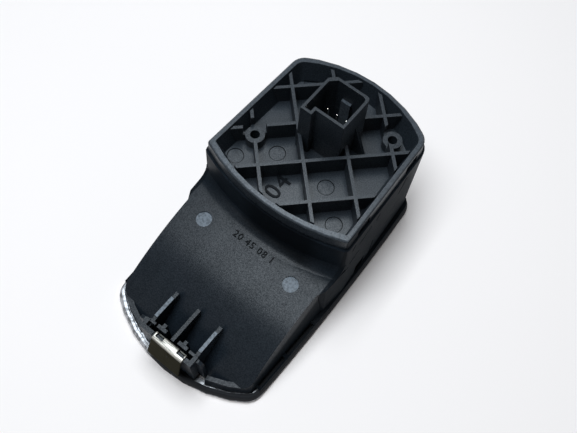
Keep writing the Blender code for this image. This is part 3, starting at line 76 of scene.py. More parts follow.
class Wire:
    """A shader socket that takes part in Python expressions."""

    def __init__(self, shader: Shader, socket: bpy.types.NodeSocket) -> None:
        """Wraps an output socket.

        Args:
            shader: The shader that the socket belongs to.
            socket: The output socket.
        """
        self.shader = shader
        self.socket = socket

    def maths(self, operation: str, first: Value, second: Value = 0.0) -> Wire:
        """Adds a Math node.

        Args:
            operation: The node's operation.
            first: Its first value.
            second: Its second value.

        Returns:
            The node's result.
        """
        return self.shader.node("ShaderNodeMath", {"operation": operation}, {0: first, 1: second})

    def __add__(self, other: Value) -> Wire:
        """Self plus other."""
        return self.maths("ADD", self, other)

    def __radd__(self, other: Value) -> Wire:
        """Other plus self."""
        return self.maths("ADD", other, self)

    def __sub__(self, other: Value) -> Wire:
        """Self minus other."""
        return self.maths("SUBTRACT", self, other)

    def __rsub__(self, other: Value) -> Wire:
        """Other minus self."""
        return self.maths("SUBTRACT", other, self)

    def __mul__(self, other: Value) -> Wire:
        """Self times other."""
        return self.maths("MULTIPLY", self, other)

    def __abs__(self) -> Wire:
        """The size of self without its sign."""
        return self.maths("ABSOLUTE", self)

    def at_least(self, other: Value) -> Wire:
        """The larger of self and other."""
        return self.maths("MAXIMUM", self, other)

    def at_most(self, other: Value) -> Wire:
        """The smaller of self and other."""
        return self.maths("MINIMUM", self, other)

    def rise(self, low: float, high: float) -> Wire:
        """A smooth step of self.

        Args:
            low: The value at which the step is 0. It may be above high, and the step then falls.
            high: The value at which the step is 1.

        Returns:
            A value from 0 to 1.
        """
        start, end = sorted((low, high))
        ends = (0.0, 1.0) if low < high else (1.0, 0.0)
        return self.shader.node("ShaderNodeMapRange", {"interpolation_type": "SMOOTHSTEP"},
                                {"Value": self, "From Min": start, "From Max": end,
                                 "To Min": ends[0], "To Max": ends[1]})


Value = Union[float, Wire]


class Shader:
    """A material under construction."""

    def __init__(self, name: str) -> None:
        """Starts a material.

        Args:
            name: The material's name.
        """
        self.material = bpy.data.materials.new(name)
        self.material.use_nodes = True
        self.tree = self.material.node_tree
        self.surface = self.tree.nodes["Principled BSDF"]
        self.place = self.node("ShaderNodeTexCoord", output="Object")
        self.x, self.y, self.z = (self.node("ShaderNodeSeparateXYZ", inputs={0: self.place}, output=axis)
                                  for axis in range(3))

    def feed(self, socket: bpy.types.NodeSocket, value: Any) -> None:
        """Links a wire to an input socket, or sets the socket's value.

        Args:
            socket: The input socket.
            value: A wire, a number, or a colour of three numbers.
        """
        if isinstance(value, Wire):
            self.tree.links.new(value.socket, socket)
        elif isinstance(value, tuple) and len(socket.default_value) == 4:
            socket.default_value = (*value, 1.0)
        else:
            socket.default_value = value

    def node(self, kind: str, settings: dict[str, Any] | None = None,
             inputs: dict[int | str, Any] | None = None, output: int | str = 0) -> Wire:
        """Adds a node of any kind.

        Args:
            kind: The node's type.
            settings: The node's own settings, which are set first.
            inputs: Values or wires for its input sockets.
            output: The output socket to return.

        Returns:
            The chosen output.
        """
        item = self.tree.nodes.new(kind)
        for name, value in (settings or {}).items():
            setattr(item, name, value)
        for key, value in (inputs or {}).items():
            self.feed(item.inputs[key], value)
        return Wire(self, item.outputs[output])

    def blend(self, factor: Value, first: Colour | Wire, second: Colour | Wire) -> Wire:
        """Mixes two colours.

        Args:
            factor: 0 for the first colour, 1 for the second.
            first: The first colour.
            second: The second colour.

        Returns:
            The mixed colour.
        """
        return self.node("ShaderNodeMix", {"data_type": "RGBA"}, {0: factor, 6: first, 7: second}, output=2)

    def noise(self, size: float, detail: float = 2.0, stretch: Colour = (1.0, 1.0, 1.0)) -> Wire:
        """Even noise of a given feature size.

        Args:
            size: The feature size in metres.
            detail: The number of finer layers.
            stretch: How many times the pattern is squeezed along each axis.

        Returns:
            A value around one half.
        """
        place = self.node("ShaderNodeMapping", inputs={"Vector": self.place, "Scale": stretch})
        return self.node("ShaderNodeTexNoise",
                         inputs={"Vector": place, "Scale": 1.0 / size, "Detail": detail})

    def reach(self, x: Wire, y: Wire) -> Wire:
        """Distance from an upright axis.

        Args:
            x: The offset along X from the axis.
            y: The offset along Y from the axis.

        Returns:
            The distance.
        """
        return self.node("ShaderNodeMath", {"operation": "SQRT"}, {0: x * x + y * y})

    def dust(self) -> Wire:
        """Scattered pale specks of dust, as a mask."""
        return self.noise(0.35 * MM, 2.0).rise(0.74, 0.82)

    def bumped(self, height: Wire, depth: float, rounding: float) -> None:
        """Feeds the normal with rounded edges and a height pattern.

        Args:
            height: The pattern, from 0 to 1.
            depth: How deep the pattern is, in metres.
            rounding: The radius that edges seem to have, in metres.
        """
        edge = self.node("ShaderNodeBevel", {"samples": 6}, {"Radius": rounding})
        normal = self.node("ShaderNodeBump", inputs={"Strength": 1.0, "Distance": depth, "Height": height,
                                                     "Normal": edge})
        self.set("Normal", normal)

    def set(self, name: str, value: Any) -> None:
        """Feeds one socket of the surface.

        Args:
            name: The socket's name.
            value: A wire, number or colour.
        """
        self.feed(self.surface.inputs[name], value)


@dataclass(frozen=True)
class Finish:
    """A surface finish that varies a little over a piece."""

    name: str
    colour: Colour
    roughness: float
    specular: float = 0.5
    sheen_tint: Colour = (1.0, 1.0, 1.0)
    metallic: float = 0.0
    grain: float = 0.14 * MM
    grain_depth: float = 0.006 * MM
    cloud: float = 7.0 * MM
    contrast: float = 0.12
    cloud_gloss: float = 0.12
    rounding: float = 0.12 * MM

    def material(self) -> bpy.types.Material:
        """Makes the finish's material.

        Returns:
            The new material.
        """
        shader = Shader(self.name)
        shader.set("Specular IOR Level", self.specular)
        shader.set("Specular Tint", self.sheen_tint)
        self.dress(shader)
        return shader.material

    def dress(self, shader: Shader) -> None:
        """Feeds colour, gloss and normal.

        Args:
            shader: The shader to feed.
        """
        cloud = shader.noise(self.cloud)
        shader.set("Base Color", shader.blend(cloud, shade(self.colour, 1.0 - self.contrast),
                                              shade(self.colour, 1.0 + self.contrast)))
        shader.set("Metallic", self.metallic)
        shader.set("Roughness", self.roughness + (cloud - 0.5) * self.cloud_gloss)
        shader.bumped(shader.noise(self.grain), self.grain_depth, self.rounding)


@dataclass(frozen=True)
class Marks:
    """Masks on a moulding: rubbed pale marks and painted sheen, smooth, dark lines and painted shade, and
    where its sheen lies.
    """

    pale: Value = 0.0
    smooth: Value = 0.0
    dark: Value = 0.0
    skin: Value = 1.0


@dataclass(frozen=True)
class Moulded(Finish):
    """Black moulded plastic with a fine grain, faint flow clouds and paler rubbed spots."""

    contrast: float = 0.4
    cloud_gloss: float = 0.16
    speck_gloss: float = 0.2
    smooth_gloss: float = 0.1
    dark_dullness: float = 0.3
    dust_pale: float = 0.25
    rub_and_sheen_colour: Colour = (0.145, 0.17, 0.20)
    dark_colour: Colour = (0.001, 0.001, 0.001)
    blotch: float = 0.8 * MM
    skin: float = 0.3
    skin_roughness: float = 0.28
    outer_skin: float = 0.15

    def dress(self, shader: Shader) -> None:
        """Feeds colour, gloss and normal, with the piece's own marks.

        Args:
            shader: The shader to feed.
        """
        cloud = shader.noise(self.cloud, 3.0)
        speck = shader.noise(self.grain, 2.0)
        tone = shader.blend(cloud * 0.5 + speck.rise(0.3, 0.7) * 0.5,
                            shade(self.colour, 1.0 - self.contrast), shade(self.colour, 1.0 + self.contrast))
        marks = self.marks(shader)
        blotch = shader.noise(self.blotch, 3.0).rise(0.32, 0.62)
        rubbed = shader.blend(blotch, shade(self.rub_and_sheen_colour, 0.5), self.rub_and_sheen_colour)
        # The pale mask holds dust and rubbed spots and also painted sheen; the dark mask holds ring lines
        # and also painted shade.
        worn = shader.blend(marks.pale, tone, rubbed)
        shader.set("Base Color", shader.blend(marks.dark, worn, self.dark_colour))
        shader.set("Metallic", self.metallic)
        skin = (0.5 + speck.rise(0.25, 0.75)) * (0.8 + cloud * 0.4) * self.skin
        shader.set("Coat Weight", skin * marks.skin * (1.0 - marks.dark))
        shader.set("Coat Roughness", self.skin_roughness)
        gloss = self.roughness + (cloud - 0.5) * self.cloud_gloss + (speck - 0.5) * self.speck_gloss
        shader.set("Roughness", gloss - marks.smooth * self.smooth_gloss + marks.dark * self.dark_dullness)
        shader.bumped(speck * (1.0 - marks.smooth), self.grain_depth, self.rounding)

    def marks(self, shader: Shader) -> Marks:
        """Where the surface is rubbed pale, smooth or dark.

        Args:
            shader: The shader to feed.

        Returns:
            The masks.
        """
        return Marks(pale=shader.dust() * self.dust_pale)

    def dulled(self, inside: Wire) -> Wire:
        """How much of its sheen the surface keeps.

        Args:
            inside: The mask of the faces with full sheen.

        Returns:
            1 on those faces, and a small share elsewhere.
        """
        return inside * (1.0 - self.outer_skin) + self.outer_skin


@dataclass(frozen=True)
class CoverPlastic(Moulded):
    """The cover's plastic, with ejector rings on the floor and a smooth rib in the socket."""

    rings: tuple[tuple[float, float], ...] = (
        (-18.6 * MM, 6.05 * MM), (-9.6 * MM, 14.55 * MM), (8.4 * MM, 14.55 * MM), (17.3 * MM, 6.45 * MM),
        (-17.5 * MM, 41.85 * MM))
    ring_radius: float = 2.45 * MM
    line: Ramp = (0.16 * MM, 0.06 * MM)
    floor: Ramp = (32.3 * MM, 32.1 * MM)
    rib_x: float = -0.4 * MM
    rib_side: Ramp = (1.75 * MM, 1.65 * MM)
    rib_near: Ramp = (33.6 * MM, 33.7 * MM)
    rib_far: Ramp = (34.8 * MM, 34.7 * MM)
    rib_top: Ramp = (44.9 * MM, 44.8 * MM)
    rim_low: Ramp = (38.7 * MM, 38.95 * MM)
    rim_high: Ramp = (39.35 * MM, 38.95 * MM)
    clip_end: Ramp = (6.0 * MM, -1.0 * MM)
    side: Ramp = (24.9 * MM, 24.6 * MM)
    end: Ramp = (49.0 * MM, 48.7 * MM)
    rib_pale: float = 0.45
    rim_painted_sheen: tuple[float, float] = (0.2, 0.4)
    line_dark: float = 0.95
    outer_painted_shade: float = 0.45

    def marks(self, shader: Shader) -> Marks:
        """The rings' fine dark lines, the smooth rib, the painted sheen on the rim, and the painted shade
        and weaker sheen on the outer band.

        Args:
            shader: The shader to feed.

        Returns:
            The masks.
        """
        near: Value = 1.0
        for x, y in self.rings:
            near = abs(shader.reach(shader.x - x, shader.y - y) - self.ring_radius).at_most(near)
        line = near.rise(*self.line) * shader.z.rise(*self.floor)
        rib = shader.y.rise(*self.rib_near) * shader.y.rise(*self.rib_far)
        rib = rib * abs(shader.x - self.rib_x).rise(*self.rib_side) * shader.z.rise(*self.rib_top)
        # Painted sheen: the rim top is painted paler, most towards the clip end.
        plain_rim, clip_end_rim = self.rim_painted_sheen
        rim = shader.z.rise(*self.rim_low) * shader.z.rise(*self.rim_high)
        rim = rim * (shader.y.rise(*self.clip_end) * (clip_end_rim - plain_rim) + plain_rim)
        inside = abs(shader.x).rise(*self.side) * shader.y.rise(*self.end)
        pale = (shader.dust() * self.dust_pale * inside).at_least(rib * self.rib_pale).at_least(rim)
        # Painted shade darkens the outer band; the ring lines are real dark lines.
        dark = (line * self.line_dark).at_least((1.0 - inside) * self.outer_painted_shade)
        return Marks(pale, smooth=rib, dark=dark, skin=self.dulled(inside))


@dataclass(frozen=True)
class CarrierPlastic(Moulded):
    """The carrier's plastic, with bright ejector discs on the plate and rubbed rib tops."""

    disc_x: float = 16.5 * MM
    disc_y: float = -11.5 * MM
    disc_edge: Ramp = (2.499 * MM, 2.352 * MM)
    disc_low: Ramp = (18.8 * MM, 19.1 * MM)
    disc_high: Ramp = (21.5 * MM, 21.0 * MM)
    tower_rib_x: float = 8.3 * MM
    tower_rib_side: Ramp = (0.62 * MM, 0.5 * MM)
    pad_low: Ramp = (15.75 * MM, 15.85 * MM)
    pad_high: Ramp = (16.3 * MM, 16.1 * MM)
    pad_near: Ramp = (-42.3 * MM, -42.2 * MM)
    pad_far: Ramp = (-34.9 * MM, -35.0 * MM)
    side: Ramp = (25.05 * MM, 24.75 * MM)
    plate_top: Ramp = (22.8 * MM, 21.8 * MM)
    plate_end: Ramp = (-1.5 * MM, -5.0 * MM)
    foot_low: Ramp = (19.0 * MM, 19.5 * MM)
    foot_near: Ramp = (-6.5 * MM, -4.0 * MM)
    foot_left: Ramp = (-10.0 * MM, -2.0 * MM)
    foot_right: Ramp = (20.0 * MM, 14.0 * MM)
    dust_pale: float = 0.2
    disc_pale: float = 0.85
    foot_painted_shadow: float = 0.6
    outer_painted_shade: float = 0.4

    def marks(self, shader: Shader) -> Marks:
        """The discs, the rubbed rib tops, the painted shade and weaker sheen on the outer walls, and the
        painted shadow at the foot of the wall.

        Args:
            shader: The shader to feed.

        Returns:
            The masks.
        """
        disc = shader.reach(abs(shader.x) - self.disc_x, shader.y - self.disc_y).rise(*self.disc_edge)
        disc = disc * shader.z.rise(*self.disc_low) * shader.z.rise(*self.disc_high)
        pad = shader.z.rise(*self.pad_low) * shader.z.rise(*self.pad_high)
        pad = pad * shader.y.rise(*self.pad_near) * shader.y.rise(*self.pad_far)
        pad = pad * abs(abs(shader.x) - self.tower_rib_x).rise(*self.tower_rib_side)
        inside = abs(shader.x).rise(*self.side)
        plate = inside * shader.z.rise(*self.plate_top) * shader.y.rise(*self.plate_end)
        # Painted shadow on the plate at the foot of the wall.
        foot = shader.z.rise(*self.foot_low) * shader.y.rise(*self.foot_near)
        foot = foot * shader.x.rise(*self.foot_left) * shader.x.rise(*self.foot_right)
        pale = (disc * self.disc_pale).at_least(pad).at_least(shader.dust() * self.dust_pale)
        # Painted shade darkens the outer walls and the skirt, together with the painted shadow at the wall's
        # foot.
        dark = ((1.0 - inside) * self.outer_painted_shade).at_least(foot * self.foot_painted_shadow)
        return Marks(pale, smooth=disc, dark=dark, skin=self.dulled(plate))


@dataclass(frozen=True)
class DigitPlastic(Moulded):
    """Plastic of raised digits, painted with shade that makes them darker than the face round them."""

    digit_painted_shade: float = 0.35

    def marks(self, shader: Shader) -> Marks:
        """An even mask of painted shade.

        Args:
            shader: The shader to feed.

        Returns:
            The masks.
        """
        return Marks(dark=self.digit_painted_shade)


@dataclass(frozen=True)
class Chrome(Finish):
    """Bright plating in front, a hammered look at the clip end and a dark coat along the sides."""

    dark: Colour = (0.012, 0.013, 0.015)
    clip_end: Ramp = (-36.5 * MM, -39.0 * MM)
    strip: Ramp = (1.6 * MM, 1.3 * MM)
    left: Ramp = (-5.0 * MM, -7.0 * MM)
    right: Ramp = (9.0 * MM, 11.0 * MM)
    front: Ramp = (0.5 * MM, 0.3 * MM)
    front_colour: Colour = (0.62, 0.63, 0.65)
    front_gloss: float = 0.30
    coat_dullness: float = 0.25
    scratch_dullness: float = 0.1
    dent_size: float = 1.3 * MM
    scratch_size: float = 0.25 * MM

    def dress(self, shader: Shader) -> None:
        """Feeds the plating's clean front, its hammered clip end and the dark coat.

        Args:
            shader: The shader to feed.
        """
        front = shader.z.rise(*self.front)
        sides = shader.x.rise(*self.left).at_least(shader.z.rise(*self.strip) * shader.x.rise(*self.right))
        hammered = shader.y.rise(*self.clip_end) * sides * (1.0 - front)
        plated = hammered.at_least(front)
        dents = shader.noise(self.dent_size, 1.5)
        scratch = shader.noise(self.scratch_size, 2.0, (1.0, 0.08, 1.0))
        bright = shader.blend(dents.rise(0.4, 0.6), shade(self.colour, 0.4), self.colour)
        bright = shader.blend(front, bright, self.front_colour)
        shader.set("Base Color", shader.blend(plated, self.dark, bright))
        shader.set("Metallic", plated)
        worn = (1.0 - plated) * self.coat_dullness + scratch * self.scratch_dullness
        shader.set("Roughness", self.roughness + worn - front * self.front_gloss)
        shader.bumped(dents * hammered, self.grain_depth, self.rounding)


@dataclass(frozen=True)
class SpringSteel(Finish):
    """Rolled steel, dark and faintly brown, with rolling marks and a painted highlight along the fold."""

    fold: Ramp = (17.3 * MM, 17.8 * MM)
    fold_painted_glint: Colour = (0.42, 0.41, 0.38)
    line_size: float = 0.5 * MM
    line_gloss: float = 0.2
    stain_size: float = 3.0 * MM

    def dress(self, shader: Shader) -> None:
        """Feeds the rolled surface.

        Args:
            shader: The shader to feed.
        """
        lines = shader.noise(self.line_size, 3.0, (0.06, 1.0, 1.0))
        stain = shader.noise(self.stain_size, 3.0)
        rolled = shader.blend(stain, shade(self.colour, 0.6), self.colour)
        # Painted highlight: pale streaks along the top of the fold, where glints fall.
        fold = shader.z.rise(*self.fold) * lines.rise(0.35, 0.6)
        shader.set("Base Color", shader.blend(fold, rolled, self.fold_painted_glint))
        shader.set("Metallic", self.metallic)
        shader.set("Roughness", self.roughness + (lines - 0.5) * self.line_gloss)
        shader.bumped(lines, self.grain_depth, self.rounding)


BLUISH = (0.78, 0.92, 1.0)
COVER_PLASTIC = CoverPlastic("black_cover_plastic", (0.018, 0.023, 0.029), 0.40, specular=0.01, skin=0.42,
                             sheen_tint=BLUISH, grain=0.32 * MM, grain_depth=0.02 * MM)
CARRIER_PLASTIC = CarrierPlastic("black_nylon", (0.009, 0.0125, 0.017), 0.40, specular=0.01, skin=0.19,
                                 sheen_tint=BLUISH, grain=0.36 * MM, grain_depth=0.03 * MM)
# The digits' colours are darker than their plastics' as painted shade.
COVER_DIGITS = DigitPlastic("black_cover_plastic", (0.010, 0.012, 0.015), 0.45, specular=0.01, skin=0.06)
CARRIER_DIGITS = DigitPlastic("black_nylon", (0.006, 0.007, 0.009), 0.45, specular=0.01, skin=0.05)
CHROME = Chrome("chrome", (0.36, 0.37, 0.39), 0.42, specular=0.12, metallic=1.0, grain_depth=0.08 * MM,
                rounding=0.2 * MM)
STEEL = SpringSteel("spring_steel", (0.045, 0.045, 0.041), 0.45, sheen_tint=(0.4, 0.39, 0.36), metallic=1.0,
                    grain_depth=0.004 * MM)
PIN_METAL = Finish("tinned_brass", (0.72, 0.71, 0.68), 0.26, metallic=1.0, rounding=0.05 * MM)
BOARD = Finish("green_laminate", (0.05, 0.20, 0.10), 0.45)
SILICONE = Finish("silicone", (0.55, 0.56, 0.55), 0.6)
PART_BLACK = Finish("component_black", (0.03, 0.03, 0.03), 0.4)
PART_WHITE = Finish("component_white", (0.75, 0.74, 0.70), 0.35)
PART_METAL = Finish("component_metal", (0.6, 0.6, 0.62), 0.3, metallic=1.0)
NATURAL_NYLON = Finish("natural_nylon", (0.62, 0.60, 0.54), 0.5)
ACETAL = Finish("grey_acetal", (0.32, 0.33, 0.34), 0.4)
ACRYLIC = Finish("clear_acrylic", (0.85, 0.88, 0.90), 0.1, grain_depth=0.0)
SATIN = Moulded("satin_black", (0.018, 0.019, 0.021), 0.4, grain=0.18 * MM, grain_depth=0.01 * MM)
LENS = Finish("milky_lens", (0.80, 0.82, 0.80), 0.25, grain_depth=0.001 * MM)
GLOSS = Finish("gloss_black", (0.010, 0.010, 0.012), 0.12, grain_depth=0.0005 * MM, cloud=20 * MM)


class Bench:
    """Small modelling steps shared by the pieces."""

    @staticmethod
    def clear_selection() -> None:
        """Deselects everything in object mode."""
        if bpy.context.mode != "OBJECT":
            bpy.ops.object.mode_set(mode="OBJECT")
        bpy.ops.object.select_all(action="DESELECT")

    @staticmethod
    def pick(item: bpy.types.Object) -> None:
        """Makes one object the only selected and active one.

        Args:
            item: The object.
        """
        Bench.clear_selection()
        item.select_set(True)
        bpy.context.view_layer.objects.active = item

    @staticmethod
    def modify(item: bpy.types.Object, kind: str, **settings: Any) -> None:
        """Adds a modifier and applies it.

        Args:
            item: The object to modify.
            kind: The modifier's type.
            **settings: The modifier's settings.
        """
        Bench.pick(item)
        modifier = item.modifiers.new(kind.lower(), kind)
        for name, value in settings.items():
            setattr(modifier, name, value)
        bpy.ops.object.modifier_apply(modifier=modifier.name)

    @staticmethod
    def settle(item: bpy.types.Object) -> None:
        """Moves an object's place into its mesh.

        Args:
            item: The object.
        """
        Bench.pick(item)
        bpy.ops.object.transform_apply(location=True, rotation=True, scale=True)

    @staticmethod
    def smooth(item: bpy.types.Object, degrees: float) -> None:
        """Shades curved faces smooth and keeps edges that are sharper than an angle.

        Args:
            item: The object.
            degrees: The angle.
        """
        Bench.pick(item)
        bpy.ops.object.shade_smooth_by_angle(angle=math.radians(degrees))

    @staticmethod
    def fit(item: bpy.types.Object, finish: Finish, body: Body, *nodes: str) -> None:
        """Gives a piece its finish and its body, and hides the nodes it stands for.

        Args:
            item: The piece.
            finish: Its finish.
            body: The body it rides on.
            *nodes: The nodes that it replaces.
        """
        item.data.materials.clear()
        item.data.materials.append(finish.material())
        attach(item, body.value)
        if nodes:
            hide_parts(*nodes)
        LOG.info("%s: %d faces", item.name, len(item.data.polygons))


@dataclass
class Moulding:
    """A piece over one solid of the frame, with merged corners, eased edges and smooth curves."""

    node: str
    finish: Finish
    body: Body = Body.SWITCH
    smooth_angle: float = 32.0
    edge: float = 0.0
    merge: float = 0.001 * MM
    flat_angle: float = 0.4
    edge_angle: float = 50.0

    def build(self, nodes: dict[str, bpy.types.Object]) -> bpy.types.Object:
        """Builds the piece.

        Args:
            nodes: The frame's solids by name.

        Returns:
            The piece.
        """
        piece = bpy.data.objects.new(f"{self.node}_form", nodes[self.node].data.copy())
        bpy.context.scene.collection.objects.link(piece)
        Bench.pick(piece)
        bpy.ops.mesh.customdata_custom_splitnormals_clear()
        bpy.ops.object.mode_set(mode="EDIT")
        bpy.ops.mesh.select_all(action="SELECT")
        bpy.ops.mesh.remove_doubles(threshold=self.merge)
        bpy.ops.mesh.dissolve_limited(angle_limit=math.radians(self.flat_angle))
        bpy.ops.object.mode_set(mode="OBJECT")
        if self.edge:
            Bench.modify(piece, "BEVEL", width=self.edge, segments=2, limit_method="ANGLE",
                         angle_limit=math.radians(self.edge_angle), use_clamp_overlap=True)
        Bench.smooth(piece, self.smooth_angle)
        Bench.modify(piece, "WEIGHTED_NORMAL", keep_sharp=True, weight=50)
        Bench.fit(piece, self.finish, self.body, self.node)
        return piece


@dataclass(frozen=True)
class PlateArc:
    """The arc along which the carrier's plate falls away towards the clip end."""

    start: float = -3.5 * MM
    radius: float = 58.6 * MM
    steepest: float = 0.9

    def normal(self, y: float) -> Vector:
        """The arc's normal at a place along the part.

        Args:
            y: The place.

        Returns:
            The normal.
        """
        lean = min(max((self.start - y) / self.radius, 0.0), self.steepest)
        return Vector((0.0, -lean, math.sqrt(1.0 - lean * lean)))

    def sag(self, y: float) -> float:
        """How far the plate has fallen at a place along the part.

        Args:
            y: The place.

        Returns:
            The fall as a negative number.
        """
        run = max(self.start - y, 0.0)
        return math.sqrt(self.radius ** 2 - run * run) - self.radius


@dataclass
class CarrierShell(Moulding):
    """The carrier, whose scooped plate gets the normals of its true arc."""

    arc: PlateArc = PlateArc()
    tolerance: float = 0.06

    def build(self, nodes: dict[str, bpy.types.Object]) -> bpy.types.Object:
        """Builds the piece and smooths its plate.

        Args:
            nodes: The frame's solids by name.

        Returns:
            The piece.
        """
        piece = super().build(nodes)
        mesh = piece.data
        normals = [corner.vector.copy() for corner in mesh.corner_normals]
        for face in mesh.polygons:
            if face.normal.z > 0 and (self.arc.normal(face.center.y) - face.normal).length < self.tolerance:
                for corner in face.loop_indices:
                    normals[corner] = self.arc.normal(mesh.vertices[mesh.loops[corner].vertex_index].co.y)
        mesh.normals_split_custom_set(normals)
        return piece


@dataclass
class HiddenParts:
    """The solids inside the housing, which keep their form and get their finishes."""

    finishes: dict[str, Finish] = field(default_factory=dict)

    def dress(self, nodes: dict[str, bpy.types.Object]) -> None:
        """Gives each solid its finish.

        Args:
            nodes: The frame's solids by name.
        """
        made: dict[str, bpy.types.Material] = {}
        for name, finish in self.finishes.items():
            if finish.name not in made:
                made[finish.name] = finish.material()
            nodes[name].data.materials.clear()
            nodes[name].data.materials.append(made[finish.name])
            LOG.info("%s: %s", name, finish.name)


@dataclass
class SpringClip:
    """The bent steel strip over the clip tower, with two slots in its fold and a pressed barb."""

    top_x: tuple[float, float] = (-4.4 * MM, 6.7 * MM)
    foot_x: tuple[float, float] = (-5.6 * MM, 6.3 * MM)
    inner_y: float = -45.45 * MM
    outer_y: float = -47.95 * MM
    top_z: float = 17.75 * MM
    drop: float = 7.0 * MM
    foot_y: float = -50.2 * MM
    foot_z: float = 6.6 * MM
    sheet: float = 0.5 * MM
    bend: float = 0.75 * MM
    slot_x: tuple[float, float] = (-3.9 * MM, 3.9 * MM)
    slot_width: float = 2.6 * MM
    slot_depth: float = 1.5 * MM
    slot_reach: float = 2.2 * MM
    slot_shift: float = 0.3 * MM
    shoulder_run: float = 0.2 * MM
    shoulder_drop: float = 1.6 * MM
    hem_run: float = 0.5 * MM
    hem_rise: float = 0.8 * MM
    barb_x: float = 1.7 * MM
    barb_width: float = 2.4 * MM
    barb_drop: float = 3.1 * MM
    barb_depth: float = 0.7 * MM
    barb_sink: float = 0.12 * MM
    barb_edge: float = 0.12 * MM
    sheet_edge: float = 0.05 * MM

    def path(self) -> list[tuple[float, float]]:
        """The strip's middle line.

        Returns:
            Corners as y and z, from the inner leg's end over the fold to the foot.
        """
        return [(self.inner_y, self.top_z - self.drop),
                (self.inner_y, self.top_z),
                (self.outer_y, self.top_z),
                (self.outer_y - self.shoulder_run, self.top_z - self.shoulder_drop),
                (self.foot_y, self.foot_z + self.hem_rise),
                (self.foot_y + self.hem_run, self.foot_z)]

    def strip(self) -> bpy.types.Object:
        """Extrudes the strip along its path.

        Returns:
            The strip as a solid sheet.
        """
        Bench.clear_selection()
        bpy.ops.mesh.primitive_plane_add(size=1.0, location=(0.0, 0.0, 0.0))
        strip = bpy.context.object
        strip.name = "spring_clip_form"
        corners = self.path()
        bpy.ops.object.mode_set(mode="EDIT")
        bpy.ops.mesh.select_all(action="SELECT")
        bpy.ops.mesh.delete(type="ONLY_FACE")
        bpy.ops.object.mode_set(mode="OBJECT")
        for vertex in strip.data.vertices:
            vertex.select = vertex.co.y > 0
        bpy.ops.object.mode_set(mode="EDIT")
        bpy.ops.mesh.delete(type="VERT")
        bpy.ops.mesh.select_all(action="SELECT")
        width = self.top_x[1] - self.top_x[0]
        bpy.ops.transform.resize(value=(width, 1.0, 1.0))
        middle = (self.top_x[0] + self.top_x[1]) / 2
        bpy.ops.transform.translate(value=(middle, corners[0][0] + 0.5, corners[0][1]))
        for (y, z), (next_y, next_z) in zip(corners, corners[1:]):
            move = (0.0, next_y - y, next_z - z)
            bpy.ops.mesh.extrude_region_move(TRANSFORM_OT_translate={"value": move})
        bpy.ops.object.mode_set(mode="OBJECT")
        self.widen(strip)
        return strip

    def widen(self, strip: bpy.types.Object) -> None:
        """Spreads the outer leg towards its foot.

        Args:
            strip: The strip.
        """
        for vertex in strip.data.vertices:
            share = min(max((self.outer_y - vertex.co.y) / (self.outer_y - self.foot_y), 0.0), 1.0)
            end = 0 if vertex.co.x < (self.top_x[0] + self.top_x[1]) / 2 else 1
            vertex.co.x = self.top_x[end] + (self.foot_x[end] - self.top_x[end]) * share

    def cut_slots(self, strip: bpy.types.Object) -> None:
        """Cuts the two slots across the fold.

        Args:
            strip: The strip.
        """
        for start in self.slot_x:
            Bench.clear_selection()
            place = (start + self.slot_width / 2, self.inner_y - self.slot_shift, self.top_z)
            bpy.ops.mesh.primitive_cube_add(size=1.0, location=place)
            cutter = bpy.context.object
            cutter.scale = (self.slot_width, self.slot_reach, 2 * self.slot_depth)
            Bench.settle(cutter)
            Bench.modify(strip, "BOOLEAN", operation="DIFFERENCE", solver="EXACT", object=cutter)
            bpy.data.objects.remove(cutter, do_unlink=True)

    def press_barb(self) -> bpy.types.Object:
        """Makes the small barb that is pressed out of the outer leg.

        Returns:
            The barb.
        """
        start, end = (Vector((0.0, *corner)) for corner in self.path()[3:5])
        share = (self.barb_drop - self.shoulder_drop) / (start.z - end.z)
        place = start.lerp(end, share) + Vector((self.barb_x, -self.barb_sink, 0.0))
        Bench.clear_selection()
        bpy.ops.mesh.primitive_cone_add(vertices=3, radius1=self.barb_width / 2,
                                        radius2=self.barb_width / 6, depth=self.barb_depth,
                                        location=place, rotation=(math.pi / 2, 0.0, 0.0))
        barb = bpy.context.object
        barb.name = "clip_barb_form"
        Bench.settle(barb)
        Bench.modify(barb, "BEVEL", width=self.barb_edge, segments=3)
        return barb

    def build(self) -> bpy.types.Object:
        """Builds the clip.

        Returns:
            The clip.
        """
        strip = self.strip()
        Bench.modify(strip, "BEVEL", width=self.bend, segments=6, limit_method="ANGLE",
                     angle_limit=math.radians(20))
        Bench.modify(strip, "SOLIDIFY", thickness=self.sheet, offset=0.0)
        self.cut_slots(strip)
        Bench.modify(strip, "BEVEL", width=self.sheet_edge, segments=2, limit_method="ANGLE",
                     angle_limit=math.radians(60))
        Bench.smooth(strip, 35.0)
        Bench.fit(strip, STEEL, Body.SWITCH, "spring_clip")
        barb = self.press_barb()
        Bench.smooth(barb, 40.0)
        Bench.fit(barb, STEEL, Body.SWITCH)
        return strip


@dataclass
class RaisedNumber:
    """Plain raised digits of the mould."""

    name: str
    text: str
    place: tuple[float, float, float]
    turn: float
    height: float
    relief: float
    finish: Finish
    arc: PlateArc | None = None
    edge: float = 0.03 * MM
    spacing: float = 1.15

    def build(self) -> bpy.types.Object:
        """Builds the digits and lays them on their surface.

        Returns:
            The digits.
        """
        Bench.clear_selection()
        bpy.ops.object.text_add(location=(0.0, 0.0, 0.0))
        words = bpy.context.object
        words.name = self.name
        words.data.body = self.text
        words.data.size = self.height
        words.data.extrude = self.relief
        words.data.bevel_depth = self.edge
        words.data.resolution_u = 3
        words.data.align_x = "CENTER"
        words.data.align_y = "CENTER"
        words.data.space_character = self.spacing
        bpy.ops.object.convert(target="MESH")
        words.rotation_euler = (0.0, 0.0, self.turn)
        words.location = self.place
        Bench.settle(words)
        if self.arc:
            for vertex in words.data.vertices:
                vertex.co.z += self.arc.sag(vertex.co.y)
        Bench.smooth(words, 30.0)
        Bench.fit(words, self.finish, Body.SWITCH)
        return words


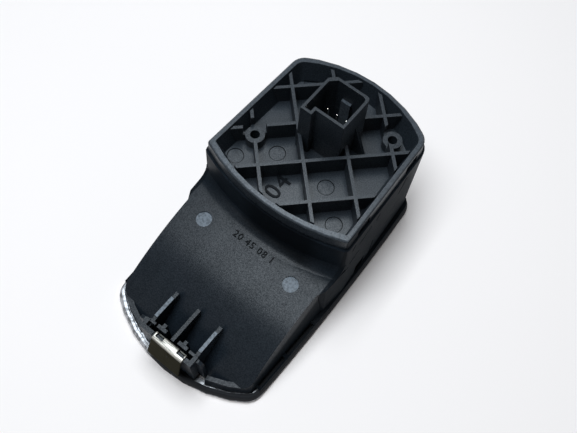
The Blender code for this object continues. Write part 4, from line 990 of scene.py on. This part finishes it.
@dataclass(frozen=True)
class Lamp:
    """A soft lamp that faces the part, with its size across and along Y."""

    name: str
    place: tuple[float, float, float]
    size: tuple[float, float]
    power: float
    colour: Colour
    aim: tuple[float, float, float] = (0.0, 0.0, 0.02)

    def build(self) -> None:
        """Adds the lamp to the scene."""
        data = bpy.data.lights.new(self.name, "AREA")
        data.shape = "RECTANGLE"
        data.size, data.size_y = self.size
        data.energy = self.power
        data.color = self.colour
        away = (Vector(self.place) - Vector(self.aim)).normalized()
        across = Vector((0.0, 1.0, 0.0)).cross(away).normalized()
        turn = Matrix((across, away.cross(across), away)).transposed().to_4x4()
        lamp = bpy.data.objects.new(self.name, data)
        lamp.matrix_world = Matrix.Translation(self.place) @ turn
        bpy.context.scene.collection.objects.link(lamp)


@dataclass
class Studio:
    """The pale floor, the soft lamps and the camera."""

    camera_place: tuple[float, float, float] = (53.194 * MM, -72.565 * MM, 213.038 * MM)
    azimuth: float = 33.03
    elevation: float = 64.34
    roll: float = 5.73
    lens: float = 44.23
    sensor: float = 36.0
    floor_colour: Colour = (0.97, 0.90, 0.87)
    floor_radius: float = 2.5
    floor_drop: float = 0.02 * MM
    far_floor: Ramp = (0.14, 0.42)
    surround: float = 0.06
    lamps: tuple[Lamp, ...] = (
        Lamp("key", (-0.10, 0.00, 0.60), (0.24, 0.52), 4.5, (0.86, 0.94, 1.0)),
        Lamp("side", (0.55, 0.05, 0.20), (0.25, 0.25), 0.15, (1.0, 0.93, 0.84)))

    def build_camera(self) -> None:
        """Places the camera at the photograph's angle."""
        turn = math.radians(self.azimuth)
        lift = math.radians(self.elevation)
        roll = math.radians(self.roll)
        back = Vector((math.sin(turn) * math.cos(lift), -math.cos(turn) * math.cos(lift), math.sin(lift)))
        level = Vector((math.cos(turn), math.sin(turn), 0.0))
        upward = back.cross(level)
        right = math.cos(roll) * level + math.sin(roll) * upward
        up = back.cross(right)
        data = bpy.data.cameras.new("view")
        data.lens = self.lens
        data.sensor_width = self.sensor
        data.sensor_fit = "HORIZONTAL"
        data.clip_start = 0.01
        data.clip_end = 10.0
        camera = bpy.data.objects.new("view", data)
        facing = Matrix((right, up, back)).transposed().to_4x4()
        camera.matrix_world = Matrix.Translation(self.camera_place) @ facing
        bpy.context.scene.collection.objects.link(camera)
        bpy.context.scene.camera = camera

    def build_floor(self) -> None:
        """Adds the floor, which keeps the part's shadow and turns white further out."""
        Bench.clear_selection()
        bpy.ops.mesh.primitive_circle_add(vertices=64, radius=self.floor_radius, fill_type="NGON",
                                          location=(0.0, 0.0, -self.floor_drop))
        floor = bpy.context.object
        floor.name = "floor"
        Bench.settle(floor)
        shader = Shader("pale_floor")
        shader.set("Base Color", self.floor_colour)
        shader.set("Roughness", 0.9)
        shader.set("Specular IOR Level", 0.0)
        camera, glossy, through = (shader.node("ShaderNodeLightPath", output=f"Is {kind} Ray")
                                   for kind in ("Camera", "Glossy", "Transmission"))
        white = shader.node("ShaderNodeEmission", inputs={"Strength": 1.0})
        far = shader.reach(shader.x, shader.y).rise(*self.far_floor)
        share = camera.at_least(glossy).at_least(through) * far
        mixed = shader.node("ShaderNodeMixShader",
                            inputs={0: share, 1: Wire(shader, shader.surface.outputs[0]), 2: white})
        shader.feed(shader.tree.nodes["Material Output"].inputs["Surface"], mixed)
        floor.data.materials.append(shader.material)

    def build_world(self) -> None:
        """Sets a white surround that lights the part gently."""
        world = bpy.data.worlds.new("surround")
        bpy.context.scene.world = world
        world.use_nodes = True
        tree = world.node_tree
        background = tree.nodes["Background"]
        background.inputs["Color"].default_value = (1.0, 1.0, 1.0, 1.0)
        path = tree.nodes.new("ShaderNodeLightPath")
        strength = path.outputs["Is Camera Ray"]
        for name in ("Is Glossy Ray", "Is Transmission Ray"):
            higher = tree.nodes.new("ShaderNodeMath")
            higher.operation = "MAXIMUM"
            tree.links.new(strength, higher.inputs[0])
            tree.links.new(path.outputs[name], higher.inputs[1])
            strength = higher.outputs[0]
        level = tree.nodes.new("ShaderNodeMapRange")
        level.inputs["To Min"].default_value = self.surround
        tree.links.new(strength, level.inputs["Value"])
        tree.links.new(level.outputs[0], background.inputs["Strength"])

    def build(self) -> None:
        """Builds the whole studio."""
        bpy.context.scene.view_settings.view_transform = "Standard"
        self.build_camera()
        self.build_floor()
        self.build_world()
        for lamp in self.lamps:
            lamp.build()
        LOG.info("studio: camera, floor and %d lamps", len(self.lamps))


def main() -> None:
    """Builds the switch and the studio."""
    logging.basicConfig(level=logging.INFO, format="%(message)s")
    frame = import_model()
    nodes = frame["nodes"]
    Studio().build()
    for moulding in (Moulding("chrome_frame", CHROME),
                     CarrierShell("carrier_housing", CARRIER_PLASTIC, smooth_angle=23.0),
                     Moulding("base_cover", COVER_PLASTIC),
                     Moulding("window_rocker", SATIN, Body.ROCKER),
                     Moulding("rocker_lens", LENS, Body.ROCKER, edge=0.15 * MM),
                     Moulding("front_panel", GLOSS),
                     *(Moulding(f"terminal_pin_{pin}", PIN_METAL, edge=0.08 * MM) for pin in range(1, 7))):
        moulding.build(nodes)
    SpringClip().build()
    RaisedNumber("plate_number", "20 45 08 1", (0.9 * MM, -9.3 * MM, 20.5 * MM), 0.0, 3.0 * MM, 0.2 * MM,
                 CARRIER_DIGITS, PlateArc()).build()
    RaisedNumber("floor_number", "04", (-2.4 * MM, 5.85 * MM, 32.0 * MM), math.pi / 2, 7.4 * MM, 0.3 * MM,
                 COVER_DIGITS).build()
    HiddenParts({"circuit_board": BOARD, "dome_mat": SILICONE, "lighting_led": PART_WHITE,
                 "driver_chip": PART_BLACK, "resistor_a": PART_BLACK, "resistor_b": PART_BLACK,
                 "diode": PART_BLACK, "filter_capacitor": PART_METAL, "guide_frame": NATURAL_NYLON,
                 "plunger_down": ACETAL, "plunger_up": ACETAL, "light_guide": ACRYLIC}).dress(nodes)


if __name__ == "__main__":
    main()
